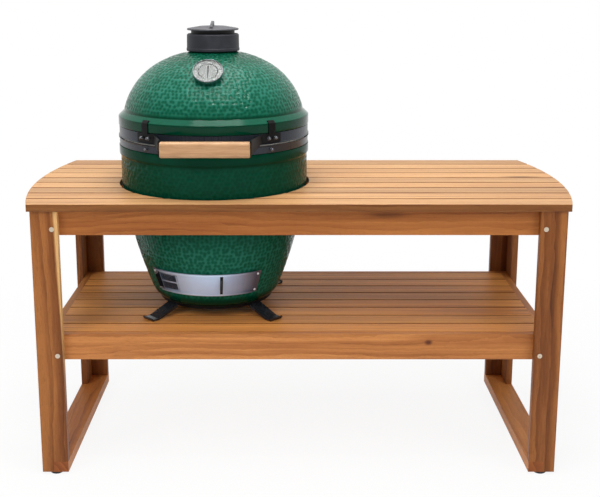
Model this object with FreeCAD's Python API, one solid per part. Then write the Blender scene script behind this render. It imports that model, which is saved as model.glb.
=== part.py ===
import FreeCAD, Part
import math
import os

# Kamado grill table: a ceramic kamado grill standing through an acacia table.
# Millimetres, +X to the right, +Y to the back, +Z up. The origin lies on the
# floor under the middle of the table.

V = FreeCAD.Vector
UP = V(0, 0, 1)
RIGHT = V(1, 0, 0)
BACK = V(0, 1, 0)

# Tabletop
TOP_LENGTH = 1520.0
TOP_DEPTH = 645.0
TOP_HEIGHT = 770.0
END_BOW = 44.0
BOARD_THICKNESS = 20.0
BOARD_COUNT = 9
BOARD_GAP = 6.0
BOARD_EDGE = 1.5
HOLE_CLEARANCE = 7.0

# Table frame
TIMBER = 20.0
TOP_END_OVERHANG = 51.0
LEG_FACE = 72.0
LEG_SIDE = 76.0
TOP_OVERHANG = 6.5
APRON_HEIGHT = 70.0
SKID_HEIGHT = 30.0
SKID_TENON = 40.0
SHELF_HEIGHT = 402.0
SHELF_RAIL_HEIGHT = 72.0
SHELF_SLAT_THICKNESS = 18.0
SHELF_SLAT_COUNT = 8
SHELF_SLAT_GAP = 5.0
CLEAT_WIDTH = 45.0
CLEAT_THICKNESS = 18.0
CLEAT_END_GAP = 46.0
CLEAT_HOLE_GAP = 22.0
GLIDE_RADIUS = 18.5
GLIDE_HEIGHT = 8.0
GLIDE_STEM_RADIUS = 4.0
GLIDE_STEM_LENGTH = 18.0
BOLT_RADIUS = 3.0
BOLT_HEAD_RADIUS = 6.5
BOLT_HEAD_HEIGHT = 2.0
BOLT_SOCKET_RADIUS = 2.3
BOLT_SOCKET_DEPTH = 1.4
BOLT_EDGE = 15.0
BOLT_HOLE_GAP = 0.25
APRON_BOLT_DROP = 49.0
SHELF_BOLT_DROP = 54.0
GLIDE_EDGE = 2.0

# A cutter runs this far past the face that it opens
PAST = 8.0

# Kamado: heights are above the underside of the ceramic base
KAMADO_X = -243.0
NEST_HEIGHT = 30.0
CERAMIC_WALL = 25.0
FOOT_RADIUS = 138.0
BELLY_RADIUS = 188.0
BELLY_HEIGHT = 32.0
WAIST_RADIUS = 235.0
WAIST_HEIGHT = 174.0
BODY_RADIUS = 269.0
BODY_HEIGHT = 348.0
RIM_RADIUS = 273.0
NECK_RADIUS = 269.0
BASE_RIM_BOTTOM = 430.0
BASE_RIM_HEIGHT = 24.0
SEAM_HEIGHT = 479.0
GASKET_THICKNESS = 2.0
GASKET_WIDTH = 20.0
SEAM_GAP = 0.3
DOME_RIM_BOTTOM = 511.0
DOME_RIM_FACE = 25.0
DOME_BEVEL_HEIGHT = 15.0
DOME_START_RADIUS = 257.0
DOME_HEIGHT = 233.0
DOME_MID_RADIUS = 172.5
DOME_MID_HEIGHT = 194.0
DOME_FLANK_RADIUS = 230.0
DOME_FLANK_HEIGHT = 135.5
DOME_CROWN_RADIUS = 130.0
DOME_CROWN_HEIGHT = 216.5
CHIMNEY_RADIUS = 62.0
CHIMNEY_BORE = 50.0
CHIMNEY_RISE = 26.0
CHIMNEY_FLARE = 12.0
CHIMNEY_FLARE_HEIGHT = 4.0
GASKET_EDGE = 1.5
BASE_CORNER_OUT = 33.0
BASE_CORNER_UP = 9.6

# Where the inside of the ceramic lies from the outside at each profile point,
# in shares of the wall: how far inwards, and how far up or down
BASE_FOOT_WALL = (0.6, 1.0)
BASE_CORNER_WALL = (0.9, 0.75)
BASE_BELLY_WALL = (1.0, 0.4)
DOME_FLANK_WALL = (0.87, -0.5)
DOME_MID_WALL = (0.62, -0.8)
DOME_CROWN_WALL = (0.45, -0.9)
DOME_TOP_WALL = (0.4, -0.93)

# Steel bands
BAND_THICKNESS = 2.0
BAND_SEAT = 0.2
BAND_LIP = 2.5
BAND_LIP_HEIGHT = 3.0
BAND_EDGE_GAP = 1.5

# Handle
HANDLE_LENGTH = 234.0
HANDLE_HEIGHT = 41.0
HANDLE_THICKNESS = 27.0
HANDLE_REACH = 348.0
HANDLE_MIDDLE = 485.0
HANDLE_ROUND = 7.0
STRAP_INSET = 3.0
STRAP_BEND = 4.0
STRAP_BITE = 1.5
STRAP_WEB_INSET = 0.3
BRACKET_STEEL = 3.0
BRACKET_HEIGHT = 24.0
BRACKET_END_HEIGHT = 36.0
BRACKET_START_ANGLE = 32.0
BRACKET_END_ANGLE = 45.0
CLIP_ANGLE = 38.5
CLIP_WIDTH = 22.0
CLIP_STEEL = 2.5
CLIP_END = 1.0
CLIP_BEVEL_SHARE = 0.5
NUT_RADIUS = 5.0
NUT_HEIGHT = 5.0
NUT_CROWN = 4.0
STUD_RADIUS = 2.5
STUD_REACH = 8.0
STUD_HOLE_GAP = 0.3
STUD_PAIR_ANGLE = 2.4

# Rear hinge
HINGE_PIN_RADIUS = 5.0
HINGE_FIT = 0.06
HINGE_STUD_X = 25.0
HINGE_STUD_SEAT = 0.6
HINGE_EAR_WEB = 14.4
HINGE_PLATE_GAP = 1.0
HINGE_EAR_RADIUS = 18.0
HINGE_PLATE_WIDTH = 130.0
HINGE_BASE_EARS = 58.0
HINGE_DOME_EARS = 50.0
EAR_THICKNESS = 5.0
PIN_HEAD_RADIUS = 8.0
PIN_HEAD_HEIGHT = 4.0
SPRING_WIRE = 2.6
SPRING_RADIUS = 9.5
SPRING_TURNS = 9
SPRING_END_GAP = 0.5

# Draft door
DRAFT_BOTTOM = 47.0
DRAFT_HEIGHT = 67.0
DRAFT_TURN_ANGLE = -6.0
DRAFT_HALF_ANGLE = 45.5
DRAFT_CHANNEL_ANGLE = 40.0
DRAFT_PLATE = 1.2
DRAFT_SEAT = 0.6
DRAFT_SLIDE_GAP = 0.4
DRAFT_LIP = 5.0
DRAFT_WEB = 1.5
DRAFT_WINDOW_LEFT_ANGLE = -34.0
DRAFT_WINDOW_RIGHT_ANGLE = 12.0
DRAFT_WINDOW_MARGIN = 11.0
DRAFT_FRAME_INSET = 1.0
PANEL_ANGLE = 52.0
DOOR_START_ANGLE = -20.0
SCREEN_START_ANGLE = -39.2
DOOR_TAB_ANGLE = 14.0
SCREEN_TAB_ANGLE = -38.2
SCREEN_PANES = 3
SCREEN_BAR = 4.5
SCREEN_EDGE_ANGLE = 2.6
SCREEN_BAR_ANGLE = 1.2
TAB_DEPTH = 13.0
TAB_THICKNESS = 2.5
TAB_TAPER = 3.0
TAB_END = 6.0
SCREW_RADIUS = 3.5
SCREW_HEAD = 2.2
SCREW_SHANK = 2.0
SCREW_LENGTH = 12.0

# Chimney cap
CAP_RADIUS = 75.5
CAP_HEIGHT = 48.0
CAP_SKIRT_DROP = 22.0
CAP_FIT = 1.0
CAP_PLATE = 5.0
CAP_COLLAR_RADIUS = 62.0
CAP_COLLAR_WALL = 4.0
CAP_COLLAR_HEIGHT = 10.0
CAP_LID_RADIUS = 73.5
CAP_LID_THICKNESS = 5.0
CAP_LID_CROWN = 8.0
CAP_LID_SHOULDER = 6.0
CAP_FIN_WIDTH = 8.0
CAP_FIN_FRONT = 63.0
CAP_FIN_HEIGHT = 20.0
CAP_PIN_RADIUS = 4.0
CAP_PIN_BOSS = 8.0
CAP_PIN_BOSS_BITE = 1.0
CAP_PIN_HEAD_RADIUS = 7.0
CAP_PIN_HEAD_HEIGHT = 3.0
CAP_LIP = 3.0
CAP_TAPER = 1.5
CAP_BEAD = 1.0
CAP_BEAD_LOW = 2.0
CAP_BEAD_MIDDLE = 7.0
CAP_BEAD_HIGH = 9.0
CAP_LID_EASE = 1.6
CAP_FIN_BACK = 15.0
CAP_FIN_NOSE = 7.0
CAP_FIN_ROOT = 1.0
CAP_BORE = 52.0
VENT_COUNT = 5
VENT_RADIUS = 9.0
VENT_CIRCLE = 27.0
WHEEL_RADIUS = 42.0
WHEEL_THICKNESS = 3.0
WHEEL_GAP = 0.1
WHEEL_KNOB_RADIUS = 6.0
WHEEL_KNOB_HEIGHT = 5.0

# Thermometer
DIAL_SEAT_RADIUS = 187.0
DIAL_ELEVATION_ANGLE = 48.0
DIAL_RADIUS = 41.0
DIAL_DEPTH = 13.0
DIAL_STANDOFF = 8.0
DIAL_WALL = 2.0
DIAL_FACE_DEPTH = 4.5
DIAL_LENS_DEPTH = 1.2
DIAL_PLATE = 1.0
DIAL_FIT = 0.1
DIAL_EASE = 2.0
DIAL_BEZEL_EASE = 1.5
DIAL_LEDGE = 3.0
DIAL_LENS_INSET = 0.5
DIAL_PIVOT_RADIUS = 0.9
DIAL_PIVOT_HEIGHT = 1.6
NEEDLE_LENGTH = 27.0
NEEDLE_TAIL = 18.0
NEEDLE_WIDTH = 2.6
NEEDLE_TIP_WIDTH = 1.5
NEEDLE_TAIL_WIDTH = 4.4
NEEDLE_THICKNESS = 0.8
NEEDLE_HUB = 3.0
NEEDLE_LIFT = 0.5
NEEDLE_FIT = 0.05
STEM_RADIUS = 4.0
STEM_LENGTH = 110.0
STEM_GAP = 0.4
STEM_COLLAR_RADIUS = 9.0
STEM_COLLAR_GAP = 2.5

# Inside the base
FIREBOX_WALL = 22.0
FIREBOX_FOOT_RADIUS = 119.0
FIREBOX_TOP_RADIUS = 206.0
FIREBOX_HEIGHT = 240.0
FIREBOX_LEDGE_HEIGHT = 98.0
FIREBOX_LEDGE_BORE = 100.0
FIREBOX_LEDGE_THICKNESS = 13.0
FIREBOX_FLOOR_BORE = 50.0
FIREBOX_VENT_REACH = 60.0
FIREBOX_VENT_HALF_ANGLE = 24.0
FIREBOX_VENT_HEIGHT = 50.0
GRATE_RADIUS = 127.0
GRATE_THICKNESS = 8.0
GRATE_SLOTS = 9
GRATE_SLOT_WIDTH = 12.0
GRATE_RIB = 12.0
GRATE_RIM = 14.0
GRATE_SPINE = 12.0
RING_HEIGHT = 96.0
RING_TOP_RADIUS = 233.0
RING_WALL = 20.0
GRID_RADIUS = 226.0
GRID_WIRE = 4.0
GRID_BAR = 3.0
GRID_BARS = 17
GRID_CROSS_PLACES = (-90.0, 90.0)

# Nest
NEST_RING_RADIUS = 160.0
NEST_RING_STEEL = 5.0
NEST_RING_DEPTH = 6.0
NEST_TOE_RADIUS = 252.0
NEST_KNEE_RADIUS = 236.0
NEST_STRAP_WIDTH = 42.0
NEST_STRAP_STEEL = 5.0
NEST_STRAP_HOLD = 8.0
NEST_FOOT_ANGLES = (-135.0, -45.0, 45.0, 135.0)
NEST_STRAP_DROP = 3.0
NEST_SEAT = 0.1
NEST_TOE_RISE = 4.0
NEST_TOE_LENGTH = 7.0

# Places worked out from the sizes above
BOARD_BOTTOM = TOP_HEIGHT - BOARD_THICKNESS
LEG_FRONT = TOP_DEPTH / 2 - TOP_OVERHANG
RAIL_FRONT = LEG_FRONT - TIMBER
RAIL_BACK = RAIL_FRONT - TIMBER
LEG_OUTER = TOP_LENGTH / 2 - TOP_END_OVERHANG
SIDE_OUTER = LEG_OUTER - TIMBER
SIDE_INNER = SIDE_OUTER - TIMBER
SKID_TOP = GLIDE_HEIGHT + SKID_HEIGHT
END_CLEAT_X = SIDE_INNER - CLEAT_END_GAP - CLEAT_WIDTH / 2
UNDERSIDE = SHELF_HEIGHT + NEST_HEIGHT
HOLE_RADIUS = BODY_RADIUS + HOLE_CLEARANCE
HOLE_CLEAT_X = KAMADO_X + HOLE_RADIUS + CLEAT_HOLE_GAP + CLEAT_WIDTH / 2
BOLT_X = LEG_OUTER - LEG_FACE + BOLT_EDGE
BOLT_Y = RAIL_FRONT - LEG_SIDE / 2
APRON_BOLT_Z = BOARD_BOTTOM - APRON_BOLT_DROP
SHELF_BOLT_Z = SHELF_HEIGHT - SHELF_BOLT_DROP
SEAM_Z = UNDERSIDE + SEAM_HEIGHT
BASE_TOP = SEAM_Z - SEAM_GAP / 2 - GASKET_THICKNESS
DOME_BOTTOM = SEAM_Z + SEAM_GAP / 2 + GASKET_THICKNESS
DOME_RIM_Z = UNDERSIDE + DOME_RIM_BOTTOM
DOME_START_Z = DOME_RIM_Z + DOME_RIM_FACE + DOME_BEVEL_HEIGHT
DOME_TOP_Z = SEAM_Z + DOME_HEIGHT
CHIMNEY_TOP_Z = DOME_TOP_Z + CHIMNEY_RISE
BAND_INNER = NECK_RADIUS + BAND_SEAT
BAND_OUTER = BAND_INNER + BAND_THICKNESS
LOWER_BAND_Z0 = UNDERSIDE + BASE_RIM_BOTTOM + BASE_RIM_HEIGHT + BAND_EDGE_GAP
LOWER_BAND_Z1 = SEAM_Z - BAND_EDGE_GAP
UPPER_BAND_Z0 = SEAM_Z + BAND_EDGE_GAP
UPPER_BAND_Z1 = DOME_RIM_Z - BAND_EDGE_GAP
LOWER_STUD_Z = (LOWER_BAND_Z0 + LOWER_BAND_Z1 - BAND_LIP_HEIGHT) / 2
UPPER_STUD_Z = (UPPER_BAND_Z0 + BAND_LIP_HEIGHT + UPPER_BAND_Z1) / 2
HINGE_Y = HANDLE_REACH - HINGE_EAR_RADIUS
HANDLE_Z = UNDERSIDE + HANDLE_MIDDLE
CAP_BOTTOM_Z = DOME_TOP_Z + CHIMNEY_RISE - CAP_SKIRT_DROP
CAP_TOP_Z = CAP_BOTTOM_Z + CAP_HEIGHT
CAP_COLLAR_TOP_Z = CAP_TOP_Z + CAP_COLLAR_HEIGHT
LID_BOTTOM_Z = CAP_COLLAR_TOP_Z + SEAM_GAP
CAP_PIN_Y = CAP_COLLAR_RADIUS - CAP_COLLAR_WALL + CAP_PIN_BOSS_BITE - CAP_PIN_BOSS
FLOOR_Z = UNDERSIDE + CERAMIC_WALL
FIREBOX_TOP_Z = FLOOR_Z + FIREBOX_HEIGHT
LEDGE_Z = FLOOR_Z + FIREBOX_LEDGE_HEIGHT
RING_TOP_Z = FIREBOX_TOP_Z + RING_HEIGHT
DRAFT_Z0 = UNDERSIDE + DRAFT_BOTTOM
DRAFT_Z1 = DRAFT_Z0 + DRAFT_HEIGHT


def export(name, shapes):
    """Write one node: a single solid, or several as a compound."""
    if len(shapes) == 1:
        shape = shapes[0]
    else:
        shape = Part.makeCompound(shapes)
    count = len(shape.Solids)
    if not shape.isValid() or count == 0:
        raise ValueError("bad shape in " + name)
    shape.exportStep("parts/" + name + ".step")
    print(name, count, "solids", round(shape.Volume / 1000.0, 1), "cm3")


def box(x0, x1, y0, y1, z0, z1):
    """A block between two corners."""
    return Part.makeBox(x1 - x0, y1 - y0, z1 - z0, V(x0, y0, z0))


def rod(radius, start, end):
    """A round bar between two points."""
    way = end - start
    return Part.makeCylinder(radius, way.Length, start, way)


def prism(points, height, z0):
    """A straight extrusion up from a closed plan outline."""
    corners = [V(x, y, z0) for x, y in points]
    corners.append(corners[0])
    return Part.Face(Part.makePolygon(corners)).extrude(V(0, 0, height))


def line(a, b):
    """A straight profile edge between two (radius, height) points."""
    return Part.makeLine(V(a[0], 0, a[1]), V(b[0], 0, b[1]))


def arc(a, b, c):
    """A profile arc through three (radius, height) points."""
    return Part.Arc(V(a[0], 0, a[1]), V(b[0], 0, b[1]), V(c[0], 0, c[1])).toShape()


def circle_through(a, b, c):
    """The circle through three (radius, height) profile points."""
    return Part.Circle(V(a[0], 0, a[1]), V(b[0], 0, b[1]), V(c[0], 0, c[1]))


def turn(edges, start=-180.0, sweep=360.0):
    """Revolve a closed profile about the vertical axis, from an angle off the front."""
    face = Part.Face(Part.Wire(edges))
    face.rotate(V(0, 0, 0), UP, start - 90.0)
    return face.revolve(V(0, 0, 0), UP, sweep)


def polyline(points):
    """Closed profile of straight edges."""
    ends = points[1:] + points[:1]
    return [line(a, b) for a, b in zip(points, ends)]


def ring(inner, outer, z0, z1, start=-180.0, sweep=360.0):
    """A plain ring or part of one."""
    corners = [(inner, z0), (outer, z0), (outer, z1), (inner, z1)]
    return turn(polyline(corners), start, sweep)


def on_kamado(shape):
    """Move a shape made about the vertical axis to the kamado's own axis."""
    moved = shape.copy()
    moved.translate(V(KAMADO_X, 0, 0))
    return moved


def around(shape, angle):
    """Turn a shape that faces the front about the kamado's axis."""
    turned = shape.copy()
    turned.rotate(V(0, 0, 0), UP, angle)
    return turned


def edges_along(shape, axis):
    """The straight edges that run along one axis."""
    return [e for e in shape.Edges if abs(e.tangentAt(e.FirstParameter).dot(axis)) > 0.9]


def eased(board, axis):
    """Ease the four edges of a board that run along one axis."""
    return board.makeFillet(BOARD_EDGE, edges_along(board, axis))


def mirrored_box(sx, x_out, x_in, y0, y1, z0, z1):
    """A block on the right (sx 1) or, mirrored, on the left (sx -1)."""
    x0, x1 = sorted((sx * x_out, sx * x_in))
    y0, y1 = sorted((y0, y1))
    return box(x0, x1, y0, y1, z0, z1)


def top_plan():
    """The tabletop's outline: straight long sides and bowed ends."""
    corner = TOP_LENGTH / 2 - END_BOW
    half = TOP_DEPTH / 2
    end = TOP_LENGTH / 2
    edges = [
        Part.makeLine(V(-corner, -half, 0), V(corner, -half, 0)),
        Part.Arc(V(corner, -half, 0), V(end, 0, 0), V(corner, half, 0)).toShape(),
        Part.makeLine(V(corner, half, 0), V(-corner, half, 0)),
        Part.Arc(V(-corner, half, 0), V(-end, 0, 0), V(-corner, -half, 0)).toShape(),
    ]
    return Part.Face(Part.Wire(edges))


def tabletop():
    """Nine boards along the table, bowed at the ends, cut by the kamado's hole."""
    plan = top_plan().extrude(V(0, 0, BOARD_THICKNESS))
    plan.translate(V(0, 0, BOARD_BOTTOM))
    hole = Part.makeCylinder(HOLE_RADIUS, BOARD_THICKNESS, V(KAMADO_X, 0, BOARD_BOTTOM))
    pitch = TOP_DEPTH / BOARD_COUNT
    for i in range(BOARD_COUNT):
        y0 = -TOP_DEPTH / 2 + i * pitch
        front = y0 + (BOARD_GAP / 2 if i > 0 else 0)
        back = y0 + pitch - (BOARD_GAP / 2 if i < BOARD_COUNT - 1 else 0)
        strip = box(-TOP_LENGTH, TOP_LENGTH, front, back, BOARD_BOTTOM, TOP_HEIGHT)
        board = eased(strip, RIGHT).common(plan).cut(hole)
        export("top_board_%d" % (i + 1), board.Solids)


def bolt_sites():
    """Each frame bolt: the outside point of its head and the way it runs in."""
    sites = []
    for z in (APRON_BOLT_Z, SHELF_BOLT_Z):
        for sx in (-1, 1):
            for sy in (-1, 1):
                sites.append((V(sx * BOLT_X, sy * LEG_FRONT, z), V(0, -sy, 0)))
                sites.append((V(sx * LEG_OUTER, sy * BOLT_Y, z), V(-sx, 0, 0)))
    return sites


def bolt_holes():
    """Clearance holes for all frame bolts, as one cutter."""
    cutters = []
    for point, way in bolt_sites():
        radius = BOLT_RADIUS + BOLT_HOLE_GAP
        cutters.append(rod(radius, point - way * PAST, point + way * (2 * TIMBER + PAST)))
    return Part.makeCompound(cutters)


def frame_bolts():
    """Flat furniture bolts with a hex socket, one through each leg joint."""
    solids = []
    for point, way in bolt_sites():
        head = Part.makeCylinder(BOLT_HEAD_RADIUS, BOLT_HEAD_HEIGHT, point, way * -1)
        shank = Part.makeCylinder(BOLT_RADIUS, 2 * TIMBER, point, way)
        deep = point - way * BOLT_HEAD_HEIGHT
        socket = Part.makeCylinder(BOLT_SOCKET_RADIUS, BOLT_SOCKET_DEPTH, deep, way)
        solids.append(head.fuse(shank).cut(socket))
    export("frame_bolts", solids)


def legs(holes):
    """Four corner legs, each a face board and a side board set in an L."""
    x_in = LEG_OUTER - LEG_FACE
    for sx, side_name in ((-1, "left"), (1, "right")):
        for sy, end_name in ((-1, "front"), (1, "rear")):
            y_out = sy * LEG_FRONT
            y_in = sy * RAIL_FRONT
            face = mirrored_box(sx, LEG_OUTER, x_in, y_out, y_in, GLIDE_HEIGHT, BOARD_BOTTOM)
            notch = mirrored_box(sx, x_in + SKID_TENON, x_in - PAST, y_out + sy * PAST, y_in - sy * PAST,
                                 GLIDE_HEIGHT - PAST, SKID_TOP)
            face = eased(face, UP).cut(notch)
            y_side = sy * (RAIL_FRONT - LEG_SIDE)
            side = mirrored_box(sx, LEG_OUTER, SIDE_OUTER, y_in, y_side, SKID_TOP, BOARD_BOTTOM)
            side = eased(side, UP)
            export("leg_" + end_name + "_" + side_name, [face.cut(holes), side.cut(holes)])


def skids():
    """Bottom runners joining each front leg to the one behind it."""
    x_in = LEG_OUTER - LEG_FACE
    for sx, name in ((-1, "skid_left"), (1, "skid_right")):
        body = mirrored_box(sx, LEG_OUTER, x_in, -RAIL_FRONT, RAIL_FRONT, GLIDE_HEIGHT, SKID_TOP)
        tenon = mirrored_box(sx, x_in + SKID_TENON, x_in, -LEG_FRONT, LEG_FRONT, GLIDE_HEIGHT, SKID_TOP)
        skid = body.fuse(tenon).removeSplitter()
        for point in glide_places():
            skid = skid.cut(rod(GLIDE_STEM_RADIUS, point, point + UP * GLIDE_STEM_LENGTH))
        export(name, skid.Solids)


def glide_places():
    """Where the four glides meet the skids."""
    x = LEG_OUTER - LEG_FACE / 2
    y = LEG_FRONT - GLIDE_RADIUS - GLIDE_EDGE
    return [V(sx * x, sy * y, GLIDE_HEIGHT) for sx in (-1, 1) for sy in (-1, 1)]


def foot_glides():
    """Round black glides screwed up into the skid ends."""
    solids = []
    for point in glide_places():
        pad = rod(GLIDE_RADIUS, point - UP * GLIDE_HEIGHT, point)
        low = [e for e in pad.Edges if e.BoundBox.ZMax < GLIDE_HEIGHT / 2]
        pad = pad.makeChamfer(GLIDE_EDGE, low)
        solids.append(pad.fuse(rod(GLIDE_STEM_RADIUS, point, point + UP * GLIDE_STEM_LENGTH)))
    export("foot_glides", solids)


def long_rail(sy, z0, z1):
    """A board along the table behind the leg faces, between the side boards."""
    y0, y1 = sorted((sy * RAIL_FRONT, sy * RAIL_BACK))
    rail = box(-SIDE_OUTER, SIDE_OUTER, y0, y1, z0, z1)
    return eased(rail, RIGHT)


def side_rail(sx, z0, z1):
    """A board across the table inside the legs, between the long rails."""
    rail = mirrored_box(sx, SIDE_OUTER, SIDE_INNER, -RAIL_BACK, RAIL_BACK, z0, z1)
    return eased(rail, BACK)


def frame_rails(holes):
    """Aprons under the tabletop and rails round the shelf."""
    for prefix, z1, height in (("apron", BOARD_BOTTOM, APRON_HEIGHT),
                               ("shelf_rail", SHELF_HEIGHT, SHELF_RAIL_HEIGHT)):
        z0 = z1 - height
        export(prefix + "_front", [long_rail(-1, z0, z1).cut(holes)])
        export(prefix + "_rear", [long_rail(1, z0, z1).cut(holes)])
        export(prefix + "_left", [side_rail(-1, z0, z1).cut(holes)])
        export(prefix + "_right", [side_rail(1, z0, z1).cut(holes)])


def shelf():
    """Shelf slats along the table on cross cleats, inside the shelf rails."""
    z0 = SHELF_HEIGHT - SHELF_SLAT_THICKNESS
    pitch = 2 * RAIL_BACK / SHELF_SLAT_COUNT
    slats = []
    for i in range(SHELF_SLAT_COUNT):
        y0 = -RAIL_BACK + i * pitch + SHELF_SLAT_GAP / 2
        slat = box(-SIDE_INNER, SIDE_INNER, y0, y0 + pitch - SHELF_SLAT_GAP, z0, SHELF_HEIGHT)
        slats.append(eased(slat, RIGHT))
    export("shelf_slats", slats)


def cleats():
    """Cross battens screwed under the tabletop boards and the shelf slats."""
    solids = []
    half = CLEAT_WIDTH / 2
    for x in (-END_CLEAT_X, HOLE_CLEAT_X, (HOLE_CLEAT_X + END_CLEAT_X) / 2, END_CLEAT_X):
        z0 = BOARD_BOTTOM - CLEAT_THICKNESS
        solids.append(box(x - half, x + half, -RAIL_BACK, RAIL_BACK, z0, BOARD_BOTTOM))
    export("top_cleats", solids)
    solids = []
    for x in (-END_CLEAT_X, 0, END_CLEAT_X):
        z1 = SHELF_HEIGHT - SHELF_SLAT_THICKNESS
        solids.append(box(x - half, x + half, -RAIL_BACK, RAIL_BACK, z1 - CLEAT_THICKNESS, z1))
    export("shelf_cleats", solids)


def inside(point, wall, shares):
    """The point of the inner profile that lies behind an outer one."""
    return (point[0] - wall * shares[0], point[1] + wall * shares[1])


def base_profile(wall):
    """Line of the ceramic base from its underside to the rim, set in by a wall."""
    foot = inside((FOOT_RADIUS, UNDERSIDE), wall, BASE_FOOT_WALL)
    corner = inside((FOOT_RADIUS + BASE_CORNER_OUT, UNDERSIDE + BASE_CORNER_UP), wall, BASE_CORNER_WALL)
    belly = inside((BELLY_RADIUS, UNDERSIDE + BELLY_HEIGHT), wall, BASE_BELLY_WALL)
    waist = (WAIST_RADIUS - wall, UNDERSIDE + WAIST_HEIGHT)
    body = (BODY_RADIUS - wall, UNDERSIDE + BODY_HEIGHT)
    return foot, corner, belly, waist, body


def base_wall_circle():
    """Centre and radius of the arc that the base's flank follows."""
    flank = circle_through(*base_profile(0)[2:])
    return flank.Center, flank.Radius


def flank_radius(z):
    """Outer radius of the base's flank at a height."""
    centre, radius = base_wall_circle()
    return centre.x + math.sqrt(radius ** 2 - (z - centre.z) ** 2)


def base_shell():
    """The ceramic base: a thick cup with a rim flange and a draft opening."""
    foot, corner, belly, waist, body = base_profile(0)
    rim_z = UNDERSIDE + BASE_RIM_BOTTOM
    rim_top = rim_z + BASE_RIM_HEIGHT
    step = 1.5 * (RIM_RADIUS - BODY_RADIUS)
    foot_i, corner_i, belly_i, waist_i, body_i = base_profile(CERAMIC_WALL)
    edges = [
        line((0, UNDERSIDE), foot),
        arc(foot, corner, belly),
        arc(belly, waist, body),
        line(body, (BODY_RADIUS, rim_z - step)),
        line((BODY_RADIUS, rim_z - step), (RIM_RADIUS, rim_z)),
        line((RIM_RADIUS, rim_z), (RIM_RADIUS, rim_top)),
        line((RIM_RADIUS, rim_top), (NECK_RADIUS, rim_top)),
        line((NECK_RADIUS, rim_top), (NECK_RADIUS, BASE_TOP)),
        line((NECK_RADIUS, BASE_TOP), (body_i[0], BASE_TOP)),
        line((body_i[0], BASE_TOP), body_i),
        arc(body_i, waist_i, belly_i),
        arc(belly_i, corner_i, foot_i),
        line(foot_i, (0, FLOOR_Z)),
        line((0, FLOOR_Z), (0, UNDERSIDE)),
    ]
    shell = turn(edges)
    shell = shell.cut(draft_window(0))
    shell = shell.cut(stud_holes(LOWER_STUD_Z))
    shell = shell.cut(screw_holes())
    export("base_shell", [on_kamado(shell)])


def draft_window(inset):
    """Cutter for the air opening through the base's front."""
    z0 = DRAFT_Z0 + DRAFT_WINDOW_MARGIN + inset
    z1 = DRAFT_Z1 - DRAFT_WINDOW_MARGIN - inset
    sweep = DRAFT_WINDOW_RIGHT_ANGLE - DRAFT_WINDOW_LEFT_ANGLE
    return ring(FOOT_RADIUS, RIM_RADIUS, z0, z1, DRAFT_WINDOW_LEFT_ANGLE + DRAFT_TURN_ANGLE, sweep)


def gaskets():
    """Felt rings on the two mating rims."""
    outer = NECK_RADIUS - GASKET_EDGE
    inner = outer - GASKET_WIDTH
    export("base_gasket", [on_kamado(ring(inner, outer, BASE_TOP, BASE_TOP + GASKET_THICKNESS))])
    z0 = DOME_BOTTOM - GASKET_THICKNESS
    export("dome_gasket", [on_kamado(ring(inner, outer, z0, DOME_BOTTOM))])


def dome_profile(wall):
    """Crown line of the dome from its rim to the chimney, set in by a wall."""
    start = (DOME_START_RADIUS - wall, DOME_START_Z)
    flank = inside((DOME_FLANK_RADIUS, SEAM_Z + DOME_FLANK_HEIGHT), wall, DOME_FLANK_WALL)
    middle = inside((DOME_MID_RADIUS, SEAM_Z + DOME_MID_HEIGHT), wall, DOME_MID_WALL)
    crown = inside((DOME_CROWN_RADIUS, SEAM_Z + DOME_CROWN_HEIGHT), wall, DOME_CROWN_WALL)
    top = inside((CHIMNEY_RADIUS + CHIMNEY_FLARE, DOME_TOP_Z), wall, DOME_TOP_WALL)
    return start, flank, middle, crown, top


def dome_shell():
    """The ceramic dome: rim flange with a bevel, crown and chimney collar."""
    start, flank, middle, crown, top = dome_profile(0)
    start_i, flank_i, middle_i, crown_i, top_i = dome_profile(CERAMIC_WALL)
    collar_z = DOME_TOP_Z + CHIMNEY_FLARE_HEIGHT
    face_top = DOME_RIM_Z + DOME_RIM_FACE
    edges = [
        line((NECK_RADIUS, DOME_BOTTOM), (NECK_RADIUS, DOME_RIM_Z)),
        line((NECK_RADIUS, DOME_RIM_Z), (RIM_RADIUS, DOME_RIM_Z)),
        line((RIM_RADIUS, DOME_RIM_Z), (RIM_RADIUS, face_top)),
        line((RIM_RADIUS, face_top), start),
        arc(start, flank, middle),
        arc(middle, crown, top),
        line(top, (CHIMNEY_RADIUS, collar_z)),
        line((CHIMNEY_RADIUS, collar_z), (CHIMNEY_RADIUS, CHIMNEY_TOP_Z)),
        line((CHIMNEY_RADIUS, CHIMNEY_TOP_Z), (CHIMNEY_BORE, CHIMNEY_TOP_Z)),
        line((CHIMNEY_BORE, CHIMNEY_TOP_Z), (CHIMNEY_BORE, DOME_TOP_Z - CERAMIC_WALL)),
        line((CHIMNEY_BORE, DOME_TOP_Z - CERAMIC_WALL), top_i),
        arc(top_i, crown_i, middle_i),
        arc(middle_i, flank_i, start_i),
        line(start_i, (NECK_RADIUS - CERAMIC_WALL, DOME_BOTTOM)),
        line((NECK_RADIUS - CERAMIC_WALL, DOME_BOTTOM), (NECK_RADIUS, DOME_BOTTOM)),
    ]
    shell = turn(edges)
    shell = shell.cut(stud_holes(UPPER_STUD_Z))
    bore = Part.makeCylinder(STEM_RADIUS + STEM_GAP, STEM_LENGTH, V(0, 0, -STEM_LENGTH / 2), UP)
    shell = shell.cut(dial_placed(bore))
    export("dome_shell", [on_kamado(shell)])


def banded(z0, z1, lip_z, stud_z):
    """A flat steel band with a rolled lip at the seam and its stud holes."""
    band = ring(BAND_INNER, BAND_OUTER, z0, z1)
    lip = ring(BAND_INNER, BAND_OUTER + BAND_LIP, lip_z, lip_z + BAND_LIP_HEIGHT)
    return band.fuse(lip).removeSplitter().cut(stud_holes(stud_z))


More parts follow.
